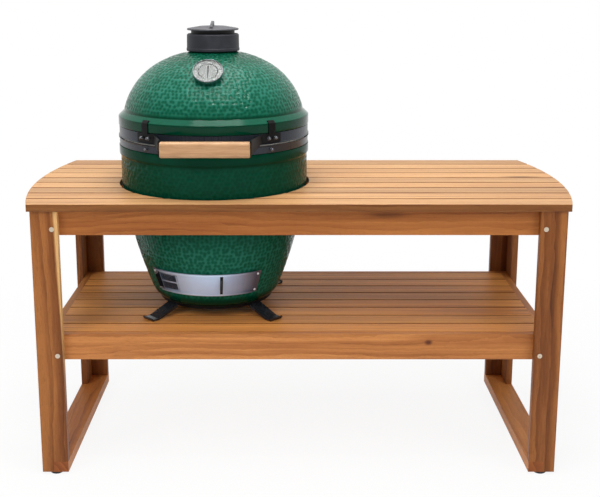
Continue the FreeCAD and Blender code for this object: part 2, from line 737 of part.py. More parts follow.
def acorn(seat, way):
    """An acorn nut on a short stud, pointing along one way from its seat."""
    nut = Part.makeCylinder(NUT_RADIUS, NUT_HEIGHT, seat, way)
    crown = Part.makeSphere(NUT_CROWN, seat + way * NUT_HEIGHT)
    return nut.fuse(crown)


def stud(angle, z, seat):
    """A nutted stud standing out from a band or bracket at the front."""
    foot = V(0, -seat, z)
    shank = rod(STUD_RADIUS, foot, foot + BACK * (STUD_REACH + seat - BAND_OUTER))
    return around(acorn(foot, BACK * -1).fuse(shank), angle)


def stud_holes(z):
    """Clearance holes for the band studs at one height."""
    radius = STUD_RADIUS + STUD_HOLE_GAP
    outer = BAND_OUTER + PAST
    inner = BAND_OUTER - STUD_REACH - STUD_HOLE_GAP
    holes = []
    for centre in (-CLIP_ANGLE, CLIP_ANGLE):
        for side in (-STUD_PAIR_ANGLE, 0, STUD_PAIR_ANGLE):
            holes.append(around(rod(radius, V(0, -outer, z), V(0, -inner, z)), centre + side))
    for x in (-HINGE_STUD_X, HINGE_STUD_X):
        holes.append(rod(radius, V(x, outer, z), V(x, inner - STUD_REACH, z)))
    return Part.makeCompound(holes)


def hinge_plate(z0, z1):
    """A plate bent to the band at the back, between two heights."""
    half = math.degrees(math.asin(HINGE_PLATE_WIDTH / 2 / BAND_OUTER))
    inner = BAND_OUTER + SEAM_GAP
    return ring(inner, inner + BRACKET_STEEL, z0, z1, 180 - half, 2 * half)


def hinge_ear(x, z0, z1):
    """An ear from the plate out to the pin, rounded at its end."""
    inner = BAND_OUTER + SEAM_GAP
    start = math.sqrt(inner ** 2 - x ** 2) + BRACKET_STEEL / 2
    side = x - EAR_THICKNESS / 2
    points = [V(side, start, z0), V(side, start, z1), V(side, HINGE_Y, SEAM_Z + HINGE_EAR_WEB),
              V(side, HINGE_Y, SEAM_Z - HINGE_EAR_WEB), V(side, start, z0)]
    web = Part.Face(Part.makePolygon(points)).extrude(RIGHT * EAR_THICKNESS)
    centre = V(side, HINGE_Y, SEAM_Z)
    boss = Part.makeCylinder(HINGE_EAR_RADIUS, EAR_THICKNESS, centre, RIGHT)
    hole = Part.makeCylinder(HINGE_PIN_RADIUS + HINGE_FIT, EAR_THICKNESS, centre, RIGHT)
    return web.fuse(boss).cut(hole)


def hinge_bracket(z0, z1, spread, stud_z):
    """A rear bracket: bent plate and two ears, bored for the pin."""
    bracket = hinge_plate(z0, z1)
    for x in (-spread, spread):
        bracket = bracket.fuse(hinge_ear(x, z0, z1))
    return bracket.removeSplitter().cut(stud_holes(stud_z))


def hinge_studs(z):
    """Two studs with acorn nuts that hold a hinge bracket to its band."""
    solids = []
    for x in (-HINGE_STUD_X, HINGE_STUD_X):
        seat = math.sqrt((BAND_OUTER + SEAM_GAP + BRACKET_STEEL) ** 2 - x ** 2) + HINGE_STUD_SEAT
        foot = V(x, seat, z)
        shank = rod(STUD_RADIUS, foot, foot - BACK * (STUD_REACH + BRACKET_STEEL))
        solids.append(acorn(foot, BACK).fuse(shank))
    return solids


def spring_coil(x0, x1):
    """A torsion spring round the hinge pin, made of half-turn arcs."""
    pitch = (x1 - x0 - SPRING_WIRE) / SPRING_TURNS
    start = x0 + SPRING_WIRE / 2
    edges = []
    steps = SPRING_TURNS * 4
    points = []
    for i in range(2 * steps + 1):
        turned = math.pi / 4 * i
        y = HINGE_Y + SPRING_RADIUS * math.cos(turned)
        z = SEAM_Z + SPRING_RADIUS * math.sin(turned)
        points.append(V(start + pitch * turned / (2 * math.pi), y, z))
    for i in range(steps):
        edges.append(Part.Arc(points[2 * i], points[2 * i + 1], points[2 * i + 2]).toShape())
    wire = Part.Wire(edges)
    tangent = edges[0].tangentAt(edges[0].FirstParameter)
    section = Part.Wire([Part.makeCircle(SPRING_WIRE / 2, points[0], tangent)])
    return wire.makePipeShell([section], True, False)


def hinge():
    """The rear hinge: two brackets, the pin and its torsion springs."""
    lip = BAND_LIP_HEIGHT + HINGE_PLATE_GAP
    lower = hinge_bracket(LOWER_BAND_Z0, LOWER_BAND_Z1 - lip, HINGE_BASE_EARS, LOWER_STUD_Z)
    upper = hinge_bracket(UPPER_BAND_Z0 + lip, UPPER_BAND_Z1, HINGE_DOME_EARS, UPPER_STUD_Z)
    export("hinge_base_bracket", [on_kamado(lower)])
    export("hinge_dome_bracket", [on_kamado(upper)])
    end = HINGE_BASE_EARS + EAR_THICKNESS / 2
    pin = rod(HINGE_PIN_RADIUS, V(-end, HINGE_Y, SEAM_Z), V(end, HINGE_Y, SEAM_Z))
    for side in (-1, 1):
        face = V(side * end, HINGE_Y, SEAM_Z)
        pin = pin.fuse(rod(PIN_HEAD_RADIUS, face, face + RIGHT * side * PIN_HEAD_HEIGHT))
    export("hinge_pin", [on_kamado(pin)])
    reach = HINGE_DOME_EARS - EAR_THICKNESS / 2 - SPRING_END_GAP
    coils = [spring_coil(-reach, -SPRING_END_GAP), spring_coil(SPRING_END_GAP, reach)]
    export("hinge_springs", [on_kamado(c) for c in coils])


def bands():
    """The steel bands round the necks of the base and the dome."""
    lower = banded(LOWER_BAND_Z0, LOWER_BAND_Z1, LOWER_BAND_Z1 - BAND_LIP_HEIGHT, LOWER_STUD_Z)
    upper = banded(UPPER_BAND_Z0, UPPER_BAND_Z1, UPPER_BAND_Z0, UPPER_STUD_Z)
    export("lower_band", [on_kamado(lower)])
    export("upper_band", [on_kamado(upper)])


def strap_spot(radius, angle):
    """A plan point at the left of the kamado's front, by its angle off the front."""
    return V(-radius * math.sin(angle), -radius * math.cos(angle), 0)


def handle_strap():
    """The left strap: flat against the bar's end, then bent along the band."""
    x = -HANDLE_LENGTH / 2
    front = -HANDLE_REACH + STRAP_INSET
    back = -HANDLE_REACH + HANDLE_THICKNESS + STRAP_BEND
    inner = BAND_OUTER + SEAM_GAP
    outer = inner + BRACKET_STEEL
    start = math.radians(BRACKET_START_ANGLE)
    end = math.radians(BRACKET_END_ANGLE)
    middle = (start + end) / 2
    bend = start - BRACKET_STEEL / 2 / inner
    corners = [V(x, front, 0), V(x - BRACKET_STEEL, front, 0), V(x - BRACKET_STEEL, back, 0),
               strap_spot(outer, start), strap_spot(outer, end), strap_spot(inner, end),
               strap_spot(inner, bend), V(x, back - BRACKET_STEEL / 2, 0)]
    edges = [Part.makeLine(a, b) for a, b in zip(corners, corners[1:] + corners[:1])]
    edges[3] = Part.Arc(corners[3], strap_spot(outer, middle), corners[4]).toShape()
    edges[5] = Part.Arc(corners[5], strap_spot(inner, middle), corners[6]).toShape()
    face = Part.Face(Part.Wire(edges))
    face.translate(UP * (UPPER_STUD_Z - BRACKET_HEIGHT / 2))
    half = BRACKET_END_HEIGHT / 2
    end_plate = box(x - BRACKET_STEEL, x, front, back, HANDLE_Z - half, HANDLE_Z + half)
    web = strap_web(corners[2], corners[3], HANDLE_Z - half, UPPER_STUD_Z - BRACKET_HEIGHT / 2)
    return face.extrude(UP * BRACKET_HEIGHT).fuse(end_plate).fuse(web)


def strap_web(near, far, low, high):
    """The deeper part of a strap behind the bar: it tapers off towards the band."""
    run = (far - near).normalize()
    inwards = V(run.y, -run.x, 0)
    start = near - run * STRAP_BITE + inwards * STRAP_WEB_INSET
    end = far + inwards * STRAP_WEB_INSET
    top = UP * (high + STRAP_BITE)
    side = Part.Face(Part.makePolygon([start + UP * low, start + top, end + top, start + UP * low]))
    return side.extrude(inwards * (BRACKET_STEEL - 2 * STRAP_WEB_INSET))


def handle():
    """The wooden bar, its two steel straps and the rim clips above them."""
    x = HANDLE_LENGTH / 2
    bar = box(-x, x, -HANDLE_REACH, -HANDLE_REACH + HANDLE_THICKNESS,
              HANDLE_Z - HANDLE_HEIGHT / 2, HANDLE_Z + HANDLE_HEIGHT / 2)
    export("handle_bar", [on_kamado(bar.makeFillet(HANDLE_ROUND, edges_along(bar, RIGHT)))])
    left = handle_strap().cut(stud_holes(UPPER_STUD_Z))
    right = left.mirror(V(0, 0, 0), RIGHT)
    export("handle_brackets", [on_kamado(left), on_kamado(right)])
    export("rim_clips", [on_kamado(around(rim_clip(), a)) for a in (-CLIP_ANGLE, CLIP_ANGLE)])


def rim_clip():
    """A black strap from the bracket up the dome's rim and over its bevel."""
    seat = RIM_RADIUS + SEAM_GAP
    low = UPPER_STUD_Z + BRACKET_HEIGHT / 2 + SEAM_GAP
    face_top = DOME_RIM_Z + DOME_RIM_FACE
    steel = CLIP_STEEL
    end = RIM_RADIUS - CLIP_BEVEL_SHARE * (RIM_RADIUS - DOME_START_RADIUS) + CLIP_END
    end_z = face_top + CLIP_BEVEL_SHARE * DOME_BEVEL_HEIGHT - SEAM_GAP
    corners = [(seat, low), (seat + steel, low), (seat + steel, face_top + steel / 2),
               (end + steel, end_z + steel / 2), (end, end_z), (seat, face_top + SEAM_GAP / 2)]
    half = math.degrees(math.asin(CLIP_WIDTH / 2 / seat))
    return turn(polyline(corners), -half, 2 * half)


def stud_sets():
    """Nutted studs: those of the base's band, and those of the dome's band."""
    lower = [on_kamado(stud(a, LOWER_STUD_Z, BAND_OUTER)) for a in (-CLIP_ANGLE, CLIP_ANGLE)]
    lower += [on_kamado(s) for s in hinge_studs(LOWER_STUD_Z)]
    seat = BAND_OUTER + SEAM_GAP + BRACKET_STEEL
    upper = []
    for centre in (-CLIP_ANGLE, CLIP_ANGLE):
        for side in (-STUD_PAIR_ANGLE, STUD_PAIR_ANGLE):
            upper.append(on_kamado(stud(centre + side, UPPER_STUD_Z, seat)))
    upper += [on_kamado(s) for s in hinge_studs(UPPER_STUD_Z)]
    return lower, upper


def slanted(offset0, offset1, z0, z1, start, sweep):
    """A curved plate that follows the flank between two offsets and heights."""
    low = flank_radius(z0)
    high = flank_radius(z1)
    corners = [(low + offset0, z0), (low + offset1, z0), (high + offset1, z1), (high + offset0, z1)]
    return turn(polyline(corners), start, sweep)


def draft():
    """The draft opening's steel frame, sliding screen, sliding door and screws."""
    z0, z1 = DRAFT_Z0, DRAFT_Z1
    back = DRAFT_SEAT
    front = back + DRAFT_PLATE
    screen_in = front + DRAFT_SLIDE_GAP
    screen_out = screen_in + DRAFT_PLATE
    door_in = screen_out + DRAFT_SLIDE_GAP
    door_out = door_in + DRAFT_PLATE
    lip_in = door_out + DRAFT_SLIDE_GAP
    lip_out = lip_in + DRAFT_PLATE
    wide = DRAFT_HALF_ANGLE
    slot = DRAFT_CHANNEL_ANGLE
    frame = slanted(back, front, z0, z1, -wide, 2 * wide)
    for low, high in ((z0, z0 + DRAFT_WEB), (z1 - DRAFT_WEB, z1)):
        frame = frame.fuse(slanted(back, lip_out, low, high, -slot, 2 * slot))
    for low, high in ((z0, z0 + DRAFT_LIP), (z1 - DRAFT_LIP, z1)):
        frame = frame.fuse(slanted(lip_in, lip_out, low, high, -slot, 2 * slot))
    frame = around(frame, DRAFT_TURN_ANGLE).cut(draft_window(DRAFT_FRAME_INSET))
    frame = frame.cut(screw_holes())
    export("draft_frame", [on_kamado(frame.removeSplitter())])
    low = z0 + DRAFT_WEB + DRAFT_SLIDE_GAP
    high = z1 - DRAFT_WEB - DRAFT_SLIDE_GAP
    door = slanted(door_in, door_out, low, high, DOOR_START_ANGLE, PANEL_ANGLE)
    door = door.fuse(panel_tab(DOOR_TAB_ANGLE, door_in))
    export("draft_door", [on_kamado(around(door.removeSplitter(), DRAFT_TURN_ANGLE))])
    screen = slanted(screen_in, screen_out, low, high, SCREEN_START_ANGLE, PANEL_ANGLE)
    for pane in screen_panes(screen_in, screen_out, low, high):
        screen = screen.cut(pane)
    screen = screen.fuse(panel_tab(SCREEN_TAB_ANGLE, screen_in))
    export("draft_screen", [on_kamado(around(screen.removeSplitter(), DRAFT_TURN_ANGLE))])


def screen_panes(inner, outer, low, high):
    """Openings of the screen: two rows with a bar between them."""
    panes = []
    rail = SCREEN_BAR + DRAFT_LIP - DRAFT_WEB
    middle = (low + high) / 2
    first = SCREEN_START_ANGLE + SCREEN_EDGE_ANGLE
    pitch = (PANEL_ANGLE - 2 * SCREEN_EDGE_ANGLE + SCREEN_BAR_ANGLE) / SCREEN_PANES
    for i in range(SCREEN_PANES):
        for z0, z1 in ((low + rail, middle - SCREEN_BAR / 2), (middle + SCREEN_BAR / 2, high - rail)):
            pane = slanted(inner - PAST, outer + PAST, z0, z1, first + i * pitch, pitch - SCREEN_BAR_ANGLE)
            panes.append(pane)
    return panes


def panel_tab(angle, offset):
    """An upright finger tab standing out from a sliding panel."""
    z0 = DRAFT_Z0 + DRAFT_LIP + TAB_END
    z1 = DRAFT_Z1 - DRAFT_LIP - TAB_END
    half = TAB_THICKNESS / 2
    low = flank_radius(z0) + offset + DRAFT_PLATE / 2
    high = flank_radius(z1) + offset + DRAFT_PLATE / 2
    points = [V(-half, -low, z0), V(-half, -low - TAB_DEPTH, z0 + TAB_TAPER),
              V(-half, -high - TAB_DEPTH, z1 - TAB_TAPER), V(-half, -high, z1), V(-half, -low, z0)]
    tab = Part.Face(Part.makePolygon(points)).extrude(RIGHT * TAB_THICKNESS)
    return around(tab, angle)


def screw_places():
    """Angle and height of the four screws that hold the draft frame."""
    angle = (DRAFT_HALF_ANGLE + DRAFT_CHANNEL_ANGLE) / 2
    inset = DRAFT_LIP + SCREW_RADIUS
    turned = (DRAFT_TURN_ANGLE - angle, DRAFT_TURN_ANGLE + angle)
    return [(a, z) for a in turned for z in (DRAFT_Z0 + inset, DRAFT_Z1 - inset)]


def on_flank(shape, angle, z):
    """Set a shape made along -Y square to the base's flank, at an angle and height."""
    centre, radius = base_wall_circle()
    lean = math.asin((centre.z - z) / radius)
    moved = shape.copy()
    moved.rotate(V(0, 0, 0), RIGHT, math.degrees(lean))
    moved.translate(V(0, -flank_radius(z), z))
    return around(moved, angle)


def draft_screws():
    """Round-headed screws into the ceramic at the frame's ends."""
    solids = []
    seat = DRAFT_SEAT + DRAFT_PLATE + SEAM_GAP
    for angle, z in screw_places():
        foot = V(0, -seat, 0)
        head = rod(SCREW_RADIUS, foot, foot - BACK * SCREW_HEAD)
        shank = rod(SCREW_SHANK, foot, foot + BACK * SCREW_LENGTH)
        solids.append(on_kamado(on_flank(head.fuse(shank), angle, z)))
    return solids


def screw_holes():
    """Clearance holes for the draft frame's screws, as one cutter."""
    holes = []
    for angle, z in screw_places():
        hole = rod(SCREW_SHANK + STUD_HOLE_GAP, V(0, -PAST, 0), V(0, SCREW_LENGTH, 0))
        holes.append(on_flank(hole, angle, z))
    return Part.makeCompound(holes)


def crown_point():
    """Where the thermometer's axis meets the dome."""
    curve = circle_through(*dome_profile(0)[:3])
    centre = curve.Center
    rise = math.sqrt(curve.Radius ** 2 - (DIAL_SEAT_RADIUS - centre.x) ** 2)
    return V(0, -DIAL_SEAT_RADIUS, centre.z + rise)


def dial_placed(shape):
    """Move a shape made on the vertical axis to the thermometer's place."""
    moved = shape.copy()
    moved.rotate(V(0, 0, 0), RIGHT, 90 - DIAL_ELEVATION_ANGLE)
    moved.translate(crown_point())
    return moved


def thermometer():
    """Dial thermometer: case with its stem, printed plate, needle and lens."""
    z0 = DIAL_STANDOFF
    z1 = z0 + DIAL_DEPTH
    inner = DIAL_RADIUS - DIAL_WALL
    ledge = inner - DIAL_LEDGE
    plate_z = z1 - DIAL_FACE_DEPTH - DIAL_PLATE
    corners = [(0, z0), (DIAL_RADIUS - DIAL_EASE, z0), (DIAL_RADIUS, z0 + DIAL_EASE),
               (DIAL_RADIUS, z1 - DIAL_BEZEL_EASE), (DIAL_RADIUS - DIAL_BEZEL_EASE, z1), (inner, z1),
               (inner, plate_z), (ledge, plate_z), (ledge, z0 + DIAL_WALL), (0, z0 + DIAL_WALL)]
    case = turn(polyline(corners))
    back = V(0, 0, z0)
    case = case.fuse(rod(STEM_RADIUS, back, back - UP * STEM_LENGTH))
    case = case.fuse(rod(STEM_COLLAR_RADIUS, back, back - UP * (DIAL_STANDOFF - STEM_COLLAR_GAP)))
    export("thermometer_case", [on_kamado(dial_placed(case))])
    face = V(0, 0, plate_z + DIAL_PLATE)
    plate = rod(inner - DIAL_FIT, face - UP * DIAL_PLATE, face)
    pivot = rod(DIAL_PIVOT_RADIUS, face, face + UP * DIAL_PIVOT_HEIGHT)
    export("thermometer_dial", [on_kamado(dial_placed(plate.fuse(pivot)))])
    z = face.z + NEEDLE_LIFT
    outline = [(-NEEDLE_TIP_WIDTH / 2, -NEEDLE_LENGTH), (NEEDLE_TIP_WIDTH / 2, -NEEDLE_LENGTH),
               (NEEDLE_WIDTH / 2, 0), (NEEDLE_TAIL_WIDTH / 2, NEEDLE_TAIL),
               (-NEEDLE_TAIL_WIDTH / 2, NEEDLE_TAIL), (-NEEDLE_WIDTH / 2, 0)]
    needle = prism(outline, NEEDLE_THICKNESS, z).fuse(ring(0, NEEDLE_HUB, z, z + NEEDLE_THICKNESS))
    needle = needle.cut(rod(DIAL_PIVOT_RADIUS + NEEDLE_FIT, face, face + UP * DIAL_FACE_DEPTH))
    export("thermometer_needle", [on_kamado(dial_placed(needle))])
    lens_z = z1 - DIAL_LENS_DEPTH - DIAL_LENS_INSET
    lens = ring(0, inner - DIAL_FIT, lens_z, lens_z + DIAL_LENS_DEPTH)
    export("thermometer_lens", [on_kamado(dial_placed(lens))])


def vent_holes(z0, z1):
    """Round vents set on a circle, as one cutter."""
    holes = []
    for i in range(VENT_COUNT):
        hole = rod(VENT_RADIUS, V(0, -VENT_CIRCLE, z0), V(0, -VENT_CIRCLE, z1))
        holes.append(around(hole, 360.0 * i / VENT_COUNT))
    return Part.makeCompound(holes)


def cap_body():
    """The cap's iron body: skirt, plate with vents, collar and pivot boss."""
    bore = CHIMNEY_RADIUS + CAP_FIT
    plate = CAP_TOP_Z - CAP_PLATE
    wall = CAP_RADIUS - CAP_TAPER
    collar_in = CAP_COLLAR_RADIUS - CAP_COLLAR_WALL
    corners = [(bore, CAP_BOTTOM_Z), (CAP_RADIUS - CAP_BEAD, CAP_BOTTOM_Z),
               (CAP_RADIUS, CAP_BOTTOM_Z + CAP_BEAD_LOW), (CAP_RADIUS, CAP_BOTTOM_Z + CAP_BEAD_MIDDLE),
               (CAP_RADIUS - CAP_BEAD, CAP_BOTTOM_Z + CAP_BEAD_HIGH), (wall, CAP_TOP_Z - CAP_LIP),
               (wall - CAP_LIP, CAP_TOP_Z), (CAP_COLLAR_RADIUS, CAP_TOP_Z),
               (CAP_COLLAR_RADIUS, CAP_COLLAR_TOP_Z), (collar_in, CAP_COLLAR_TOP_Z),
               (collar_in, CAP_TOP_Z), (0, CAP_TOP_Z), (0, plate), (CAP_BORE, plate),
               (CAP_BORE, CHIMNEY_TOP_Z), (bore, CHIMNEY_TOP_Z)]
    body = turn(polyline(corners))
    place = V(0, CAP_PIN_Y, CAP_TOP_Z)
    body = body.fuse(rod(CAP_PIN_BOSS, place, place + UP * CAP_COLLAR_HEIGHT))
    body = body.cut(vent_holes(plate - PAST, CAP_TOP_Z + PAST))
    return body.cut(rod(CAP_PIN_RADIUS, place - UP * CAP_PLATE, place + UP * CAP_COLLAR_HEIGHT))


def vent_wheel():
    """The flat wheel that opens and shuts the vents, with its knob."""
    z0 = CAP_TOP_Z + WHEEL_GAP
    z1 = z0 + WHEEL_THICKNESS
    wheel = ring(0, WHEEL_RADIUS, z0, z1).cut(vent_holes(z0 - PAST, z1 + PAST))
    return wheel.fuse(ring(0, WHEEL_KNOB_RADIUS, z1, z1 + WHEEL_KNOB_HEIGHT))


def lid_fin():
    """The grip along the lid: low at the front, highest over the middle."""
    root = LID_BOTTOM_Z + CAP_LID_THICKNESS
    peak = root + CAP_FIN_HEIGHT
    outline = [(-CAP_FIN_FRONT, root - CAP_FIN_ROOT), (-CAP_FIN_FRONT, root + CAP_FIN_NOSE),
               (-CAP_FIN_FRONT / 2, (root + CAP_FIN_NOSE + peak) / 2 + CAP_FIN_ROOT), (0, peak),
               (CAP_FIN_BACK, root - CAP_FIN_ROOT)]
    points = [V(-CAP_FIN_WIDTH / 2, y, z) for y, z in outline]
    points.append(points[0])
    return Part.Face(Part.makePolygon(points)).extrude(RIGHT * CAP_FIN_WIDTH)


def lid_disc(z0, z1):
    """The lid's round plate: eased edge, low crown, and a seat for the pin's head."""
    edge = CAP_LID_RADIUS
    ease = CAP_LID_EASE
    corners = [(0, z0), (edge - ease, z0), (edge, z0 + ease), (edge, z1 - ease), (edge - ease, z1),
               (edge / 2, z1 + CAP_LID_SHOULDER), (0, z1 + CAP_LID_CROWN)]
    seat = V(0, CAP_PIN_Y, z1)
    return turn(polyline(corners)).cut(rod(CAP_PIN_HEAD_RADIUS + SEAM_GAP, seat, seat + UP * CAP_LID_CROWN))


def cap():
    """Cast iron chimney cap: body, vent wheel, swing lid with a fin, and its pin."""
    export("cap_body", [on_kamado(cap_body().removeSplitter())])
    export("cap_vent_wheel", [on_kamado(vent_wheel())])
    z0 = LID_BOTTOM_Z
    z1 = z0 + CAP_LID_THICKNESS
    place = V(0, CAP_PIN_Y, z0)
    lid = lid_disc(z0, z1).fuse(lid_fin())
    lid = lid.cut(rod(CAP_PIN_RADIUS + HINGE_FIT, place, place + UP * CAP_LID_THICKNESS))
    export("cap_lid", [on_kamado(lid.removeSplitter())])
    head = V(0, CAP_PIN_Y, z1 + SEAM_GAP)
    pin = rod(CAP_PIN_RADIUS, V(0, CAP_PIN_Y, CAP_TOP_Z - CAP_PLATE), head)
    pin = pin.fuse(rod(CAP_PIN_HEAD_RADIUS, head, head + UP * CAP_PIN_HEAD_HEIGHT))
    export("cap_pivot", [on_kamado(pin)])


def firebox_radius(z):
    """Outer radius of the fire box at a height."""
    share = (z - FLOOR_Z) / FIREBOX_HEIGHT
    return FIREBOX_FOOT_RADIUS + (FIREBOX_TOP_RADIUS - FIREBOX_FOOT_RADIUS) * share


def fire_box():
    """Fire clay cup with a ledge for the grate and a front opening for air and ash."""
    z0, z1 = FLOOR_Z, FIREBOX_TOP_Z
    wall = FIREBOX_WALL
    floor = z0 + wall
    under = LEDGE_Z - FIREBOX_LEDGE_THICKNESS
    corners = [(FIREBOX_FLOOR_BORE, z0), (FIREBOX_FOOT_RADIUS, z0), (FIREBOX_TOP_RADIUS, z1),
               (FIREBOX_TOP_RADIUS - wall, z1), (firebox_radius(LEDGE_Z) - wall, LEDGE_Z),
               (FIREBOX_LEDGE_BORE, LEDGE_Z), (FIREBOX_LEDGE_BORE, under),
               (firebox_radius(under) - wall, under), (firebox_radius(floor) - wall, floor),
               (FIREBOX_FLOOR_BORE, floor)]
    vent = ring(FIREBOX_VENT_REACH, FIREBOX_TOP_RADIUS, floor, floor + FIREBOX_VENT_HEIGHT,
                -FIREBOX_VENT_HALF_ANGLE, 2 * FIREBOX_VENT_HALF_ANGLE)
    return turn(polyline(corners)).cut(vent)


def fire_grate():
    """Iron disc with rows of slots, on the fire box's ledge."""
    grate = ring(0, GRATE_RADIUS, LEDGE_Z, LEDGE_Z + GRATE_THICKNESS)
    pitch = GRATE_SLOT_WIDTH + GRATE_RIB
    half = GRATE_SLOT_WIDTH / 2
    for i in range(GRATE_SLOTS):
        x = (i - (GRATE_SLOTS - 1) / 2) * pitch
        reach = math.sqrt((GRATE_RADIUS - GRATE_RIM) ** 2 - x ** 2)
        for y0, y1 in ((-reach, -GRATE_SPINE / 2), (GRATE_SPINE / 2, reach)):
            slot = box(x - half, x + half, y0, y1, LEDGE_Z - PAST, LEDGE_Z + GRATE_THICKNESS + PAST)
            grate = grate.cut(slot)
    return grate


def cooking_grid():
    """Round rod rim with parallel bars and two cross bars, on the fire ring."""
    z = RING_TOP_Z + GRID_WIRE
    grid = Part.makeTorus(GRID_RADIUS, GRID_WIRE, V(0, 0, z), UP)
    for i in range(GRID_BARS):
        x = (i - (GRID_BARS - 1) / 2) * 2 * GRID_RADIUS / (GRID_BARS + 1)
        reach = math.sqrt(GRID_RADIUS ** 2 - x ** 2)
        grid = grid.fuse(rod(GRID_BAR, V(x, -reach, z), V(x, reach, z)))
    for y in GRID_CROSS_PLACES:
        reach = math.sqrt(GRID_RADIUS ** 2 - y ** 2)
        grid = grid.fuse(rod(GRID_BAR, V(-reach, y, z), V(reach, y, z)))
    return grid


def fire_parts():
    """What stands inside the base: fire box, grate, fire ring and cooking grid."""
    export("fire_box", [on_kamado(fire_box())])
    export("fire_grate", [on_kamado(fire_grate())])
    corners = [(FIREBOX_TOP_RADIUS - RING_WALL, FIREBOX_TOP_Z), (FIREBOX_TOP_RADIUS, FIREBOX_TOP_Z),
               (RING_TOP_RADIUS, RING_TOP_Z), (RING_TOP_RADIUS - RING_WALL, RING_TOP_Z)]
    export("fire_ring", [on_kamado(turn(polyline(corners)))])
    export("cooking_grid", [on_kamado(cooking_grid())])


def belly_height(radius):
    """Height of the base's rounded underside at a radius."""
    curve = circle_through(*base_profile(0)[:3])
    centre = curve.Center
    return centre.z - math.sqrt(curve.Radius ** 2 - (radius - centre.x) ** 2)


def nest_foot():
    """One strap: welded up the ring, down to the shelf, its toe turned up."""
    steel = NEST_STRAP_STEEL
    start = NEST_RING_RADIUS + NEST_RING_STEEL + NEST_SEAT
    top = belly_height(NEST_RING_RADIUS) - NEST_STRAP_DROP
    floor = SHELF_HEIGHT
    toe = NEST_TOE_RADIUS
    path = [(start, top - NEST_STRAP_HOLD), (start, top), (start + steel, top - steel / 4),
            (NEST_KNEE_RADIUS, floor + steel), (toe, floor + steel),
            (toe + NEST_TOE_RISE, floor + steel + NEST_TOE_RISE),
            (toe + NEST_TOE_LENGTH, floor + steel + NEST_TOE_RISE / 2),
            (toe + steel / 2, floor), (NEST_KNEE_RADIUS - steel / 2, floor)]
    points = [V(-NEST_STRAP_WIDTH / 2, -r, z) for r, z in path]
    points.append(points[0])
    return Part.Face(Part.makePolygon(points)).extrude(RIGHT * NEST_STRAP_WIDTH)


def nest():
    """Steel ring under the base, and four strap feet that stand on the shelf."""
    outer = NEST_RING_RADIUS + NEST_RING_STEEL
    top_in = belly_height(NEST_RING_RADIUS) - SEAM_GAP
    top_out = belly_height(outer) - SEAM_GAP
    low = top_in - NEST_RING_DEPTH
    corners = [(NEST_RING_RADIUS, low), (outer, low), (outer, top_out), (NEST_RING_RADIUS, top_in)]
    export("nest_ring", [on_kamado(turn(polyline(corners)))])
    foot = nest_foot()
    feet = [on_kamado(around(foot, a)) for a in NEST_FOOT_ANGLES]
    export("nest_feet", feet)


def main():
    """Build every node."""
    os.makedirs("parts", exist_ok=True)
    holes = bolt_holes()
    tabletop()
    cleats()
    legs(holes)
    skids()
    frame_rails(holes)
    shelf()
    foot_glides()
    frame_bolts()
    nest()
    base_shell()
    gaskets()
    fire_parts()
    draft()
    bands()
    handle()
    hinge()
    dome_shell()
    thermometer()
    cap()
    lower, upper = stud_sets()
    export("base_fasteners", lower + draft_screws())
    export("dome_fasteners", upper)


main()
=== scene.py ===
import math
import bmesh
import bpy
import numpy as np
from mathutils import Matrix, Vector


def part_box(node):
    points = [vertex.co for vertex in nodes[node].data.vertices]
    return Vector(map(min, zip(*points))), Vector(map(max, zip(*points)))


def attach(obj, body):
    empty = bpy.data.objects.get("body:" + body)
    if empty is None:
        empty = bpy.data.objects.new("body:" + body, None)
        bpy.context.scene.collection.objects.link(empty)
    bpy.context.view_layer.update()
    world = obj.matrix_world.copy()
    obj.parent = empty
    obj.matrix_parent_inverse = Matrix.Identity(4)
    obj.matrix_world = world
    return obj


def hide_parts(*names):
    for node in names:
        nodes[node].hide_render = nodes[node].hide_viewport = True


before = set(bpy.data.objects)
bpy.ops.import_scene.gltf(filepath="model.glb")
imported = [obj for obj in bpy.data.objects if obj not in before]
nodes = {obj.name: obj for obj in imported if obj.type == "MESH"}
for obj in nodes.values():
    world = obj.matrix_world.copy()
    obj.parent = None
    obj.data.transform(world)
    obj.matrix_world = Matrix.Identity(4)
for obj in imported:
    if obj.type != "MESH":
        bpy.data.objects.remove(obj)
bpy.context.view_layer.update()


# Legs, skids and rails: planed acacia boards about 20 mm thick, oiled. Each leg is
# a face board and a side board set in an L, and each pair of legs stands on a skid.
def linear(red, green, blue):
    """Scene colour of a paint chip whose screen values run from 0 to 255."""
    chip = np.array([red, green, blue]) / 255
    curve = np.where(chip <= 0.04045, chip / 12.92, ((chip + 0.055) / 1.055) ** 2.4)
    return (*curve.tolist(), 1.0)


def add(tree, kind, inputs=None, output=0, **settings):
    """Add a node and return one of its outputs, by number or by name. Inputs that are
    sockets are linked, others are set as values."""
    part = tree.nodes.new("ShaderNode" + kind)
    for key, value in settings.items():
        setattr(part, key, value)
    for key, value in (inputs or {}).items():
        if isinstance(value, bpy.types.NodeSocket):
            tree.links.new(value, part.inputs[key])
        else:
            part.inputs[key].default_value = value
    return part.outputs[output]


def new_finish(name):
    """A node material: returns it with its tree, its shader and the piece's coordinates."""
    finish = bpy.data.materials.new(name)
    finish.use_nodes = True
    tree = finish.node_tree
    return finish, tree, tree.nodes["Principled BSDF"], add(tree, "TexCoord", output="Object")


def calc(tree, operation, first, second=0.0, third=0.0):
    """One arithmetic step on values or sockets."""
    return add(tree, "Math", {0: first, 1: second, 2: third}, operation=operation)


def split(tree, vector):
    """The three coordinates of a vector, by number or by name."""
    part = tree.nodes.new("ShaderNodeSeparateXYZ")
    tree.links.new(vector, part.inputs[0])
    return part.outputs


def toned(colour, red, green, blue):
    """A colour whose red, green and blue are each taken times a share."""
    return [colour[0] * red, colour[1] * green, colour[2] * blue, 1.0]


